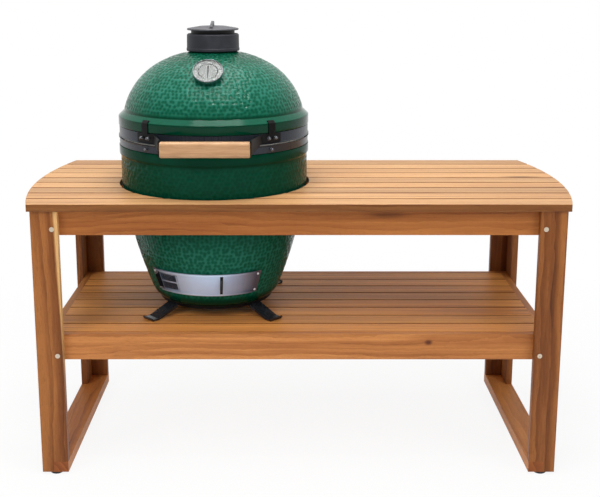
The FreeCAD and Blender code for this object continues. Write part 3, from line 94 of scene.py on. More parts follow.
def mixed(tree, share, first, second, way="MIX"):
    """Blend two colours by a share from 0 to 1. The node's colours are its sockets 6, 7
    and 2, which share their names with those for values."""
    return add(tree, "Mix", {0: share, 6: first, 7: second}, output=2, data_type="RGBA",
               blend_type=way)


def ramp(tree, share, stops):
    """Colours along a value: stops are (place, colour) pairs."""
    part = tree.nodes.new("ShaderNodeValToRGB")
    tree.links.new(share, part.inputs[0])
    elements = part.color_ramp.elements
    while len(elements) < len(stops):
        elements.new(0.5)
    for element, (place, colour) in zip(elements, stops):
        element.position = place
        element.color = colour
    return part.outputs[0]


def stretched(tree, vector, scale, offset=(0.0, 0.0, 0.0)):
    """The same coordinates, scaled along each axis and shifted."""
    return add(tree, "Mapping", {"Vector": vector, "Scale": scale, "Location": offset})


def noise(tree, vector, scale, detail=3.0, roughness=0.5):
    """Smooth random values about 0.5 along scaled coordinates."""
    inputs = {"Vector": vector, "Scale": scale, "Detail": detail, "Roughness": roughness}
    return add(tree, "TexNoise", inputs)


def bumped(tree, shader, height, depth, strength=1.0):
    """Let a height pattern catch the light, its full swing being that deep in metres."""
    bump = add(tree, "Bump", {"Height": height, "Distance": depth, "Strength": strength})
    tree.links.new(bump, shader.inputs["Normal"])


def acacia(name, grain, seed, light, middle, dark, board=None, sides=None, sap=None, broad=1.0,
           eye=None):
    """Oiled acacia. Streaks and growth rings run along one axis, the rings circle a pith
    line outside the board, and small knots are stretched cells. board is (axis, first
    edge, width) where one node holds several boards, so that each gets its own shift and
    tone. sides darkens the faces between neighbouring boards: painted shade in the gaps.
    sap is the corner (x, z) of a board that keeps a pale edge of sapwood, narrowing
    downwards. broad is how many times wider than usual streaks and rings are. eye is the
    place (x, z) of one knot, a little wider than high."""
    finish, tree, shader, place = new_finish(name)
    parts = split(tree, place)
    order = {"X": "XYZ", "Y": "YXZ", "Z": "ZXY"}[grain]
    shift = seed * 1.37
    if board:
        axis, edge, width = board
        share = calc(tree, "DIVIDE", calc(tree, "SUBTRACT", parts[axis], edge), width)
        number = calc(tree, "FLOOR", share)
        chance = add(tree, "TexWhiteNoise", {"W": number}, noise_dimensions="1D")
        shift = calc(tree, "MULTIPLY_ADD", chance, 9.0, shift)
    along = calc(tree, "ADD", parts[order[0]], shift)
    flat = calc(tree, "MULTIPLY_ADD", shift, 0.23, parts[order[1]])
    deep = calc(tree, "MULTIPLY_ADD", shift, 0.11, parts[order[2]])
    log = add(tree, "CombineXYZ", {0: along, 1: flat, 2: deep})

    # The log's coordinates, moved off the pith and swaying along the grain.
    pith = (0.0, 0.05, 0.03)
    sway = noise(tree, stretched(tree, log, (1.6, 9.0, 9.0)), 1.0, 2.0)
    bent = add(tree, "VectorMath", {0: log, 1: pith}, operation="ADD")
    push = add(tree, "CombineXYZ", {1: calc(tree, "MULTIPLY", sway, pith[1]),
                                    2: calc(tree, "MULTIPLY", sway, pith[2])})
    bent = add(tree, "VectorMath", {0: bent, 1: push}, operation="ADD")

    # Four patterns make the tone: streaks, growth rings, broad patches and fine fibres.
    wave = {"Vector": bent, "Scale": 26.0 / broad, "Distortion": 3.0, "Detail": 3.0, "Detail Scale": 0.6,
            "Detail Roughness": 0.6}
    rings = add(tree, "TexWave", wave, output="Fac", wave_type="RINGS", rings_direction="X",
                wave_profile="SAW")
    streak = noise(tree, stretched(tree, bent, (1.3, 55.0 / broad, 55.0 / broad)), 1.0, 5.0, 0.62)
    fibre = noise(tree, stretched(tree, log, (14.0, 900.0, 900.0)), 1.0, 2.0, 0.6)
    patch = noise(tree, stretched(tree, bent, (0.9, 11.0, 11.0)), 1.0, 2.0)
    tone = calc(tree, "MULTIPLY", streak, 0.62)
    for pattern, weight in ((rings, 0.10), (patch, 0.28), (fibre, 0.12)):
        tone = calc(tree, "MULTIPLY_ADD", pattern, weight, tone)
    colour = ramp(tree, tone, [(0.34, dark), (0.50, middle), (0.68, light)])

    # Small knots, and pores as short dark dashes.
    cells = add(tree, "TexVoronoi", {"Vector": stretched(tree, bent, (1.5, 8.0, 8.0)), "Scale": 1.0,
                                     "Randomness": 1.0})
    knot = calc(tree, "SMOOTH_MIN", calc(tree, "MULTIPLY", cells, 9.0), 1.0, 0.3)
    colour = mixed(tree, knot, toned(dark, 0.35, 0.28, 0.22), colour)
    dashes = noise(tree, stretched(tree, log, (60.0, 1600.0, 1600.0)), 1.0, 0.0)
    pore = calc(tree, "GREATER_THAN", dashes, 0.70)
    colour = mixed(tree, calc(tree, "MULTIPLY", pore, 0.35), colour, dark)
    if board:
        tint = calc(tree, "MULTIPLY_ADD", chance, 0.30, 0.84)
        grey = add(tree, "CombineColor", {0: tint, 1: tint, 2: tint})
        colour = mixed(tree, 1.0, colour, grey, "MULTIPLY")
    if eye:
        squat = 1.4
        flattened = stretched(tree, place, (1.0, 0.0, squat))
        away = add(tree, "VectorMath", {0: flattened, 1: (eye[0], 0.0, eye[1] * squat)}, output="Value",
                   operation="DISTANCE")
        away = calc(tree, "MULTIPLY_ADD", sway, 0.006, away)
        heart = add(tree, "MapRange", {"Value": away, "From Min": 0.008, "From Max": 0.017})
        colour = mixed(tree, heart, linear(92, 48, 27), colour)
    if sap:
        taper = 0.021
        wide, narrow = 0.008, 0.003
        drop = calc(tree, "MULTIPLY", calc(tree, "SUBTRACT", parts["Z"], sap[1]), taper)
        reach = calc(tree, "ADD", parts["X"], calc(tree, "MULTIPLY_ADD", sway, wide, drop))
        pale = add(tree, "MapRange", {"Value": reach, "From Min": sap[0] - wide,
                                      "From Max": sap[0] - narrow})
        colour = mixed(tree, pale, colour, linear(212, 166, 108))

    # Faces that look along the grain are sawn ends, which show the rings.
    facing = split(tree, add(tree, "TexCoord", output="Normal"))
    end = calc(tree, "GREATER_THAN", calc(tree, "ABSOLUTE", facing[order[0]]), 0.7)
    # Faces turned towards a neighbouring board take the sides colour: painted shade in the gaps.
    if sides:
        turned = calc(tree, "ABSOLUTE", facing[order[1]])
        turned = add(tree, "MapRange", {"Value": turned, "From Min": 0.35, "From Max": 0.8})
        colour = mixed(tree, turned, colour, sides, "MULTIPLY")
    sawn = mixed(tree, rings, dark, toned(dark, 1.5, 1.6, 1.6))
    colour = mixed(tree, end, colour, sawn)
    tree.links.new(colour, shader.inputs["Base Color"])
    tree.links.new(calc(tree, "MULTIPLY_ADD", streak, 0.25, 0.36), shader.inputs["Roughness"])
    shader.inputs["Specular IOR Level"].default_value = 0.25
    relief = calc(tree, "MULTIPLY_ADD", fibre, 0.5, streak)
    relief = calc(tree, "SUBTRACT", relief, calc(tree, "MULTIPLY", pore, 0.6))
    bumped(tree, shader, relief, 0.0005, 0.5)
    return finish


def dress(node, finish):
    """Give a carried-over construction piece its finish."""
    target = nodes[node]
    target.data.materials.clear()
    target.data.materials.append(finish)


leg_chips = (linear(162, 102, 52), linear(119, 66, 28), linear(52, 25, 11))
skid_chips = (linear(210, 144, 80), linear(180, 113, 57), linear(126, 68, 32))
apron_chips = (linear(178, 112, 56), linear(152, 88, 40), linear(112, 58, 24))
rail_chips = (linear(198, 132, 74), linear(168, 104, 54), linear(126, 72, 36))
leg_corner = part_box("leg_front_left")[1]
sapwood = {"leg_front_left": (leg_corner.x, leg_corner.z)}
round_knots = {"shelf_rail_front": (0.353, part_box("shelf_rail_front")[1].z - 0.023)}
timbers = [
    (("leg_front_left", "leg_front_right", "leg_rear_left", "leg_rear_right"), "Z", 1, leg_chips, 2.6),
    (("apron_left", "apron_right"), "Y", 4, leg_chips, 1.0),
    (("skid_left", "skid_right", "shelf_rail_left", "shelf_rail_right"), "Y", 6, skid_chips, 2.0),
    (("apron_front", "apron_rear"), "X", 10, apron_chips, 1.0),
    (("shelf_rail_front", "shelf_rail_rear"), "X", 12, rail_chips, 1.0),
]
for group, grain, first_seed, chips, broad in timbers:
    for number, node in enumerate(group):
        dress(node, acacia(node, grain, first_seed + number, *chips, sap=sapwood.get(node), broad=broad,
                           eye=round_knots.get(node)))


# Shelf slats and the cross cleats under slats and tabletop: the same acacia, screwed
# from below, so that nothing shows from above but the boards and the gaps.
low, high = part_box("shelf_slats")
slat_count = 8
slat_gap = 0.005
slat_pitch = (high.y - low.y + slat_gap) / slat_count
slat_row = ("Y", low.y - slat_gap / 2, slat_pitch)
slat_chips = (linear(230, 162, 88), linear(200, 130, 66), linear(144, 84, 38))
gap_shade = (0.36, 0.24, 0.14, 1.0)
dress("shelf_slats", acacia("shelf_slats", "X", 14, *slat_chips, slat_row, gap_shade))
for node in ("top_cleats", "shelf_cleats"):
    dress(node, acacia(node, "Y", 15, *leg_chips))


# Tabletop: nine acacia boards with bowed ends, cut round the kamado. The sun and the
# oil leave them paler than the frame, and every board has its own tone.
board_chips = ((214, 168, 118), (188, 138, 90), (138, 88, 50))
board_tones = (0.98, 1.00, 0.90, 1.04, 0.95, 1.06, 1.00, 1.03, 0.94)
for number, tone in enumerate(board_tones, 1):
    chips = [linear(*[value * tone for value in chip]) for chip in board_chips]
    node = "top_board_%d" % number
    dress(node, acacia(node, "X", 20 + number, *chips, sides=gap_shade))


# Frame bolts and foot glides: sixteen plain furniture bolts with a hex socket, flat on
# the legs, and four black moulded glides under the skids.
def brushed(name, colour, roughness, axis, metallic=1.0):
    """Steel with fine lines along one axis: stretched noise sets roughness and relief."""
    finish, tree, shader, place = new_finish(name)
    scale = [420.0, 420.0, 420.0]
    scale["XYZ".index(axis)] = 9.0
    lines = noise(tree, stretched(tree, place, scale), 1.0, 3.0, 0.7)
    cloud = noise(tree, place, 14.0, 3.0)
    shade = mixed(tree, calc(tree, "MULTIPLY", cloud, 0.45), colour, toned(colour, 0.72, 0.72, 0.72))
    tree.links.new(shade, shader.inputs["Base Color"])
    tree.links.new(calc(tree, "MULTIPLY_ADD", lines, 0.22, roughness - 0.11), shader.inputs["Roughness"])
    shader.inputs["Metallic"].default_value = metallic
    bumped(tree, shader, lines, 0.0001, 0.5)
    return finish


def painted(name, colour, roughness, grain=900.0, depth=0.00008, metallic=0.0):
    """Powder coat, moulded plastic or iron: an even colour over a fine orange peel."""
    finish, tree, shader, place = new_finish(name)
    peel = noise(tree, place, grain, 2.0)
    wear = noise(tree, place, 26.0, 4.0, 0.6)
    dusty = [min(1.0, value * 1.5 + 0.006) for value in colour[:3]] + [1.0]
    worn = ramp(tree, wear, [(0.42, (0, 0, 0, 1)), (0.8, (1, 1, 1, 1))])
    tree.links.new(mixed(tree, worn, colour, dusty), shader.inputs["Base Color"])
    tree.links.new(calc(tree, "MULTIPLY_ADD", wear, 0.2, roughness - 0.1), shader.inputs["Roughness"])
    shader.inputs["Metallic"].default_value = metallic
    bumped(tree, shader, peel, depth, 0.6)
    return finish


dress("frame_bolts", brushed("bolt_steel", linear(226, 210, 188), 0.3, "Y"))
dress("foot_glides", painted("glide_plastic", linear(24, 24, 25), 0.55))


# Nest: a steel ring under the ceramic and four bent strap feet that stand on the shelf,
# their toes turned up, all in black powder coat.
black_coat = painted("black_coat", linear(7, 7, 8), 0.4)
black_coat.node_tree.nodes["Principled BSDF"].inputs["Specular IOR Level"].default_value = 0.15
dress("nest_ring", black_coat)
dress("nest_feet", painted("foot_coat", linear(26, 28, 33), 0.26))


# Ceramic base: a thick cup, cast in one piece, glazed green outside over a dimpled body
# and left plain inside. A smooth rim flange closes it, and a window lets the air in.
axis_x = -0.243
wall_columns = 540
dimple_pitch = 0.0122
dimple_depth = 0.0014


def full_turn(count):
    """The angles of that many even steps of a full turn, from zero."""
    return np.arange(count) * 2 * math.pi / count


def arc_through(first, middle, last, count):
    """Points along the circle through three (radius, height) places, first to last. Its
    centre is as far from the first place as from the ends of the two chords p and q."""
    a, b, c = np.array(first), np.array(middle), np.array(last)
    p, q = b - a, c - a
    twice_area = 2 * (p[0] * q[1] - p[1] * q[0])
    centre = a + np.array([q[1] * (p @ p) - p[1] * (q @ q), p[0] * (q @ q) - q[0] * (p @ p)]) / twice_area
    start, stop = [math.atan2(spot[1] - centre[1], spot[0] - centre[0]) for spot in (a, c)]
    turn = (stop - start + math.pi) % (2 * math.pi) - math.pi
    angles = start + turn * np.linspace(0, 1, count)
    return centre + np.hypot(*(a - centre)) * np.stack([np.cos(angles), np.sin(angles)], axis=1)


def softened(corners, radius, steps=3):
    """A line whose inner corners are rounded: each turns into a quadratic curve that
    starts and ends one radius away from it, or half an edge where that is shorter."""
    corners = np.array(corners, float)
    line = [corners[0]]
    for before, corner, after in zip(corners, corners[1:], corners[2:]):
        back, on = before - corner, after - corner
        start = corner + back * min(radius / np.linalg.norm(back), 0.5)
        stop = corner + on * min(radius / np.linalg.norm(on), 0.5)
        for share in np.linspace(0, 1, steps + 1):
            line.append((1 - share) ** 2 * start + 2 * share * (1 - share) * corner + share ** 2 * stop)
    line.append(corners[-1])
    return np.array(line)


def lathe(profile, columns):
    """Turn (radius, height) points about the kamado's axis, from the back all round. By
    the angle off the front, x takes the radius times the sine and y minus the cosine."""
    around = full_turn(columns) - math.pi
    radius, height = profile[:, :1], profile[:, 1:]
    return np.stack([axis_x + radius * np.sin(around), -radius * np.cos(around),
                     height + 0 * around], axis=-1)


def net(rows, columns):
    """Quads between neighbouring rows and columns of a grid whose rows are closed rings."""
    at = np.arange(rows * columns).reshape(rows, columns)
    at = np.concatenate([at, at[:, :1]], axis=1)
    return np.stack([at[:-1, :-1], at[:-1, 1:], at[1:, 1:], at[1:, :-1]], axis=-1)


def shaped(name, points, quads, finishes, body, replaced, smooth=35.0, relief=None, kinds=None):
    """A mesh piece from grid points: doubles merged, normals outwards, smooth but for
    edges sharper than an angle. It rides on a body and stands for construction nodes."""
    mesh = bpy.data.meshes.new(name)
    mesh.from_pydata(points.reshape(-1, 3).tolist(), [], quads.reshape(-1, 4).tolist())
    if relief is not None:
        mesh.attributes.new("relief", "FLOAT", "POINT").data.foreach_set("value", relief.ravel())
    if kinds is not None:
        mesh.polygons.foreach_set("material_index", kinds.ravel())
    work = bmesh.new()
    work.from_mesh(mesh)
    bmesh.ops.remove_doubles(work, verts=work.verts, dist=0.000004)
    bmesh.ops.recalc_face_normals(work, faces=work.faces)
    work.to_mesh(mesh)
    work.free()
    for finish in finishes:
        mesh.materials.append(finish)
    mesh.polygons.foreach_set("use_smooth", np.ones(len(mesh.polygons), bool))
    mesh.set_sharp_from_angle(angle=math.radians(smooth))
    piece = bpy.data.objects.new(name, mesh)
    bpy.context.collection.objects.link(piece)
    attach(piece, body)
    if replaced:
        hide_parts(*replaced)


def dimples(length, radius, columns, seed):
    """Relief of a dimpled skin, 0 in the middle of a pit and 1 between pits. Pits stand on
    rings 0.87 of a pitch apart along the profile, every second ring half a pitch on, each
    moved at random by up to a fifth. The squared distances to the near pits, over the
    pitch squared, are joined by a soft minimum and divided by the reach of a pit."""
    sharpness, reach = 9, 0.22
    chance = np.random.default_rng(seed)
    nearness = np.zeros((len(length), columns))
    rings = np.arange(length[0] - dimple_pitch, length[-1] + dimple_pitch, 0.87 * dimple_pitch)
    for number, ring in enumerate(rings):
        near = np.abs(length - ring) < 1.6 * dimple_pitch
        size = 2 * math.pi * np.interp(ring, length, radius)
        count = round(size / dimple_pitch)
        moved = chance.uniform(-0.2, 0.2, (2, count))
        spot = np.arange(columns) / columns * count + 0.5 * (number % 2)
        for pit in (np.floor(spot).astype(int) + step for step in (-1, 0, 1, 2)):
            across = (spot - pit - moved[0, pit % count]) * size / count / dimple_pitch
            down = (length[near, None] - ring) / dimple_pitch - moved[1, pit % count]
            nearness[near] += np.exp(-sharpness * (across ** 2 + down ** 2))
    return np.clip(-np.log(nearness + 1e-9) / sharpness / reach, 0, 1)


def dimpled(profile, first, last, columns, fade, heights, height_shade, seed):
    """Grid of a turned profile with dimples between two of its rows. They press the skin
    inwards along its normal and fade out over a length at both ends of the zone. With it
    goes how thin the glaze lies: 0 on the smooth rims, and on the bumps a share that
    changes with height to paint shade, darker where less light falls. Of that, three
    tenths are left in the pits, and about a third at the ends of the zone."""
    grid = lathe(profile, columns)
    relief = np.zeros(grid.shape[:2])
    rows = profile[first:last]
    steps = np.hypot(*np.diff(rows, axis=0).T)
    length = np.concatenate([[0], np.cumsum(steps)])
    ends = np.clip(np.minimum(length, length[-1] - length) / fade, 0, 1)[:, None]
    bumps = dimples(length, rows[:, 0], columns, seed)
    thin = (0.3 + 0.7 * bumps) * (0.35 + 0.65 * ends)
    # The height share is painted shade: it darkens the glaze where less light reaches it.
    relief[first:last] = thin * np.interp(rows[:, 1], heights, height_shade)[:, None]
    along = np.gradient(rows, axis=0)
    along /= np.hypot(*along.T)[:, None]
    around = full_turn(columns) - math.pi
    out = np.stack([along[:, 1:] * np.sin(around), -along[:, 1:] * np.cos(around),
                    -along[:, :1] + 0 * around], axis=-1)
    grid[first:last] -= out * ((1 - bumps) * ends * dimple_depth)[..., None]
    return grid, relief


def glaze(name, shine):
    """Deep glossy glaze. The relief attribute says where it is thin and pale, on the bumps,
    and thick and dark, in the pits and on the rims; it also carries painted shade by
    height and a painted light on the dome's bevel. Noise clouds it and ripples it."""
    finish, tree, shader, place = new_finish(name)
    relief = add(tree, "Attribute", output="Fac", attribute_name="relief")
    cloud = noise(tree, place, 9.0, 4.0, 0.6)
    thin = calc(tree, "MULTIPLY_ADD", cloud, 0.2, calc(tree, "MULTIPLY", relief, 0.8))
    colour = ramp(tree, thin, [(0.1, linear(0, 50, 33)), (0.5, linear(16, 82, 62)),
                               (0.9, linear(40, 108, 90))])
    tree.links.new(colour, shader.inputs["Base Color"])
    shader.inputs["Roughness"].default_value = 0.08
    shader.inputs["Specular IOR Level"].default_value = shine
    bumped(tree, shader, noise(tree, place, 160.0, 3.0), 0.0005, 0.5)
    return finish


def flank_radius(height, circle):
    """Radius at a height on the circle through three profile points."""
    line = arc_through(*circle, 400)
    return np.interp(height, line[:, 1], line[:, 0])


base_corner = [(0.138, 0.432), (0.171, 0.4416), (0.188, 0.464)]
base_flank = [(0.188, 0.464), (0.235, 0.606), (0.269, 0.780)]
base_inner = [(0.163, 0.474), (0.210, 0.606), (0.244, 0.780)]
window_degrees = (-40.0, 6.0)
below_window = np.linspace(0.464, 0.490, 11)[:-1]
window_rows = np.linspace(0.490, 0.535, 19)
above_window = np.linspace(0.535, 0.780, 75)[1:]
heights = np.concatenate([below_window, window_rows, above_window])
outer = np.stack([flank_radius(heights, base_flank), heights], axis=1)
straight = np.stack([np.full(22, 0.269), np.linspace(0.780, 0.854, 23)[1:]], axis=1)
rim = softened([(0.269, 0.854), (0.269, 0.856), (0.273, 0.862), (0.273, 0.886), (0.269, 0.886),
                (0.269, 0.90885), (0.244, 0.90885), (0.244, 0.880)], 0.0016)[1:]
inside_above = np.linspace(0.780, 0.535, 6)[:-1]
inner_heights = np.concatenate([inside_above, window_rows[::-1], [0.474]])
inner = np.stack([flank_radius(inner_heights, base_inner), inner_heights], axis=1)
hollow = arc_through((0.163, 0.474), (0.1485, 0.46035), (0.123, 0.457), 6)[1:]
corner = arc_through(*base_corner, 9)
profile = np.concatenate([[(0.0, 0.432)], corner, outer[1:], straight, rim, inner, hollow, [(0.0, 0.457)]])
first_outer = len(corner)
last_outer = first_outer + len(outer) + len(straight)
first_inner = last_outer + len(rim)
# The glaze is painted darker towards the top of the base's flank: painted shade under the rim and dome.
grid, relief = dimpled(profile, first_outer, last_outer, wall_columns, 0.008, (0.60, 0.74),
                       (0.8, 0.22), 3)
quads = net(len(profile), wall_columns)
kinds = np.zeros(quads.shape[:2], int)
kinds[first_inner - 1:] = 1

# The window is left out of both walls, and four jambs join their edges.
edge_left, edge_right = [round((degrees / 360 + 0.5) * wall_columns) for degrees in window_degrees]
row_low = first_outer + len(below_window)
row_high = row_low + len(window_rows) - 1
inside_high = first_inner + len(inside_above)
inside_low = inside_high + len(window_rows) - 1
kept = np.ones(quads.shape[:2], bool)
kept[row_low:row_high, edge_left:edge_right] = False
kept[inside_high:inside_low, edge_left:edge_right] = False
at = np.arange(len(profile) * wall_columns).reshape(len(profile), wall_columns)
outside_rows = np.arange(row_low, row_high + 1)
inside_rows = np.arange(inside_low, inside_high - 1, -1)
edges = [(at[outside_rows, column], at[inside_rows, column]) for column in (edge_left, edge_right)]
edges += [(at[outside, edge_left:edge_right + 1], at[inside, edge_left:edge_right + 1])
          for outside, inside in ((row_low, inside_low), (row_high, inside_high))]
jambs = np.concatenate([np.stack([a[:-1], a[1:], b[1:], b[:-1]], axis=1) for a, b in edges])
quads, kinds = quads[kept], np.concatenate([kinds[kept], np.ones(len(jambs), int)])
quads = np.concatenate([quads, jambs])
green_glaze = glaze("green_glaze", 0.15)
base_glaze = glaze("base_glaze", 0.06)
bare_ceramic = painted("bare_ceramic", linear(196, 182, 160), 0.85, 300.0, 0.0005)
shaped("base_body", grid, quads, (base_glaze, bare_ceramic), "table", ("base_shell",),
       relief=relief, kinds=kinds)


# Felt gaskets, fire box, fire ring, grates: felt glued to both rims, buff fire clay that
# stands loose in the base, a cast iron grate and a stainless cooking grid.
felt = painted("gasket_felt", linear(214, 210, 200), 0.95, 700.0, 0.0008)
for node in ("base_gasket", "dome_gasket"):
    dress(node, felt)
clay = painted("fire_clay", linear(206, 190, 166), 0.85, 300.0, 0.0006)
for node in ("fire_box", "fire_ring"):
    dress(node, clay)
iron = painted("cast_iron", linear(52, 52, 56), 0.52, 420.0, 0.0003, 0.4)
dress("fire_grate", iron)
dress("cooking_grid", brushed("grid_steel", linear(196, 198, 204), 0.3, "X"))


# Draft door: a stainless frame with rolled lips, screwed to the ceramic, and two sliding
# plates in it, one of them a frame of panes with woven wire behind its bars.
def rolled_steel(name, light, black_from=90.0, black_to=90.0):
    """Smooth stainless sheet round the flank. By the angle off the front in degrees, it
    carries a painted sheen, bright in the middle and darker towards both ends where the
    sheen turns away, and painted black shade on its tab, which lies between two such
    angles."""
    finish, tree, shader, place = new_finish(name)
    parts = split(tree, place)
    turned = calc(tree, "ARCTAN2", calc(tree, "SUBTRACT", parts["X"], axis_x),
                  calc(tree, "MULTIPLY", parts["Y"], -1.0))
    turned = calc(tree, "MULTIPLY", turned, math.degrees(1.0))
    share = calc(tree, "MULTIPLY_ADD", turned, 0.01, 0.5)
    # Painted sheen: the sheet's colour by angle, bright where it faces the lamps and dark towards its ends.
    painted_sheen = ramp(tree, share, [(0.0, (0.16, 0.14, 0.14, 1)), (0.16, (0.7, 0.7, 0.71, 1)),
                                 (0.36, (1, 1, 1, 1)), (0.56, (0.95, 0.95, 0.97, 1)),
                                 (0.68, (0.62, 0.6, 0.64, 1)), (0.86, (0.14, 0.11, 0.12, 1))])
    lines = noise(tree, stretched(tree, place, (1500.0, 1500.0, 40.0)), 1.0, 2.0, 0.6)
    cloud = noise(tree, stretched(tree, place, (30.0, 30.0, 12.0)), 1.0, 3.0)
    sheet = mixed(tree, calc(tree, "MULTIPLY", cloud, 0.3), light, toned(light, 0.75, 0.75, 0.75))
    sheet = mixed(tree, 1.0, sheet, painted_sheen, "MULTIPLY")
    # The tab's strip is painted near black and not metallic: painted shade at the tab.
    tab = calc(tree, "MULTIPLY", calc(tree, "GREATER_THAN", turned, black_from),
               calc(tree, "LESS_THAN", turned, black_to))
    tree.links.new(mixed(tree, tab, sheet, linear(12, 12, 16)), shader.inputs["Base Color"])
    tree.links.new(calc(tree, "MULTIPLY_ADD", tab, -0.3, 0.3), shader.inputs["Metallic"])
    tree.links.new(calc(tree, "MULTIPLY_ADD", lines, 0.1, 0.24), shader.inputs["Roughness"])
    bumped(tree, shader, lines, 0.00004, 0.5)
    return finish


dress("draft_frame", rolled_steel("draft_steel", linear(206, 224, 248)))
dress("draft_door", rolled_steel("door_steel", linear(192, 212, 240), 6.9, 9.1))
dress("draft_screen", rolled_steel("screen_steel", linear(190, 206, 230), -90.0, -43.6))


wire_sides = 4
wire_radius = 0.0004
wire_offset = 0.0028
plate_ends = np.array([0.4809, 0.5441])


def wires(paths):
    """Grid points and quads of thin square wires with closed ends, one per path of points.
    Their rings stand square to the path, one corner towards the kamado's axis."""
    run = np.gradient(paths, axis=1)
    run /= np.linalg.norm(run, axis=2, keepdims=True)
    inward = np.array([axis_x, 0.0, 0.0]) - paths
    inward[..., 2] = 0.0
    inward /= np.linalg.norm(inward, axis=2, keepdims=True)
    side = np.cross(run, inward)
    side /= np.linalg.norm(side, axis=2, keepdims=True)
    top = np.cross(side, run)
    angle = full_turn(wire_sides)
    points = paths[:, :, None] + wire_radius * (side[:, :, None] * np.cos(angle)[:, None]
                                                + top[:, :, None] * np.sin(angle)[:, None])
    count, length = paths.shape[:2]
    starts = np.arange(count)[:, None, None] * length * wire_sides
    quads = (net(length, wire_sides).reshape(-1, 4)[None] + starts).reshape(-1, 4)
    first_ring = starts[:, 0] + np.arange(wire_sides)
    caps = np.stack([first_ring, first_ring + (length - 1) * wire_sides], axis=1)
    return points, np.concatenate([quads, caps.reshape(-1, wire_sides)])


def woven(angle, height, sway):
    """A place on the screen, whose plate is a cone between two rings of the flank: the
    cone's radius, plus the plate's offset and the weave's swing by a wire's radius."""
    cone = np.interp(height, plate_ends, flank_radius(plate_ends, base_flank))
    radius = cone + wire_offset + sway * wire_radius
    return np.stack([axis_x + radius * np.sin(angle), -radius * np.cos(angle), height], axis=-1)


# Two sets of wires cross at every point of this grid, over and under in turn.
across = np.radians(np.linspace(-43.6, 5.2, 93))
upward = np.linspace(0.4845, 0.5405, 27)
angles, levels = np.meshgrid(across, upward)
swing = np.cos(np.pi * np.arange(len(across)))[None] * np.cos(np.pi * np.arange(len(upward)))[:, None]
weft_points, weft_quads = wires(woven(angles, levels, swing))
warp_points, warp_quads = wires(np.swapaxes(woven(angles, levels, -swing), 0, 1))
points = np.concatenate([weft_points.reshape(-1, 3), warp_points.reshape(-1, 3)])
quads = np.concatenate([weft_quads, warp_quads + weft_points.size // 3])
shaped("screen_mesh", points, quads, (brushed("mesh_steel", linear(42, 52, 70), 0.35, "Z", 0.2),),
       "draft_screen", ())


# Steel bands: two flat rolled bands clamp the ceramic rims, satin dark grey, each with a
# lip bent outwards along the seam.
band_inside, band_face, band_lip = 0.2692, 0.2712, 0.2736
band_columns = 360


def band(name, edge, seam, body, node):
    """One band: an upright strip between its free edge and the seam, where a lip turns out."""
    way = 1 if seam > edge else -1
    line = softened([(band_inside, edge), (band_face, edge), (band_face, seam - way * 0.0034),
                     (band_lip, seam - way * 0.0018), (band_lip, seam), (band_inside, seam),
                     (band_inside, edge)], 0.0009)
    line = np.concatenate([line[:-1], line[:1]])
    grid = lathe(line, band_columns)
    shaped(name, grid, net(len(line), band_columns), (dark_band,), body, (node,))


dark_band = brushed("band_steel", linear(46, 51, 60), 0.30, "Z", 0.5)
band("band_low", 0.8875, 0.9095, "table", "lower_band")
band("band_high", 0.9415, 0.9125, "dome", "upper_band")


# Ceramic dome: cast like the base, with a smooth rim flange under a bevel, a dimpled
# crown and a plain chimney collar that the cap stands on.
dome_columns = 576
dome_low = arc_through((0.257, 0.983), (0.230, 1.0465), (0.1725, 1.105), 66)
dome_high = arc_through((0.1725, 1.105), (0.130, 1.1275), (0.074, 1.144), 46)
crown = np.concatenate([dome_low, dome_high[1:]])
rim = softened([(0.244, 0.937), (0.244, 0.91315), (0.269, 0.91315), (0.269, 0.943), (0.273, 0.943),
                (0.273, 0.968), (0.257, 0.983), dome_low[2]], 0.0022, 4)[:-1]
neck = softened([dome_high[-1], (0.062, 1.148), (0.062, 1.170), (0.050, 1.170), (0.050, 1.119)], 0.0015)[1:]
dome_inner = np.concatenate([arc_through((0.064, 1.12075), (0.11875, 1.105), (0.157, 1.085), 8),
                             arc_through((0.157, 1.085), (0.20825, 1.034), (0.232, 0.983), 8)[1:]])
profile = np.concatenate([rim, crown[2:], neck, dome_inner, rim[:1]])
first_crown = len(rim)
last_crown = first_crown + len(crown) - 2
# The dome's glaze is painted darker at the crown's foot and most round the neck: painted shade, the neck's
# under the cap.
grid, relief = dimpled(profile, first_crown, last_crown, dome_columns, 0.007, (0.985, 1.05, 1.11, 1.144),
                       (0.6, 1.0, 0.95, 0.3), 8)
# The upward-facing bevel gets a paler glaze than the rest of the rim: painted light from above.
bevel = np.abs(profile[:first_crown, 1] - 0.9755) < 0.006
relief[:first_crown][bevel] = 0.4
quads = net(len(profile), dome_columns)
kinds = np.zeros(quads.shape[:2], int)
kinds[last_crown + len(neck) - 1:] = 1
kinds[0] = 1
shaped("dome_body", grid, quads, (green_glaze, bare_ceramic), "dome", ("dome_shell",),
       relief=relief, kinds=kinds)


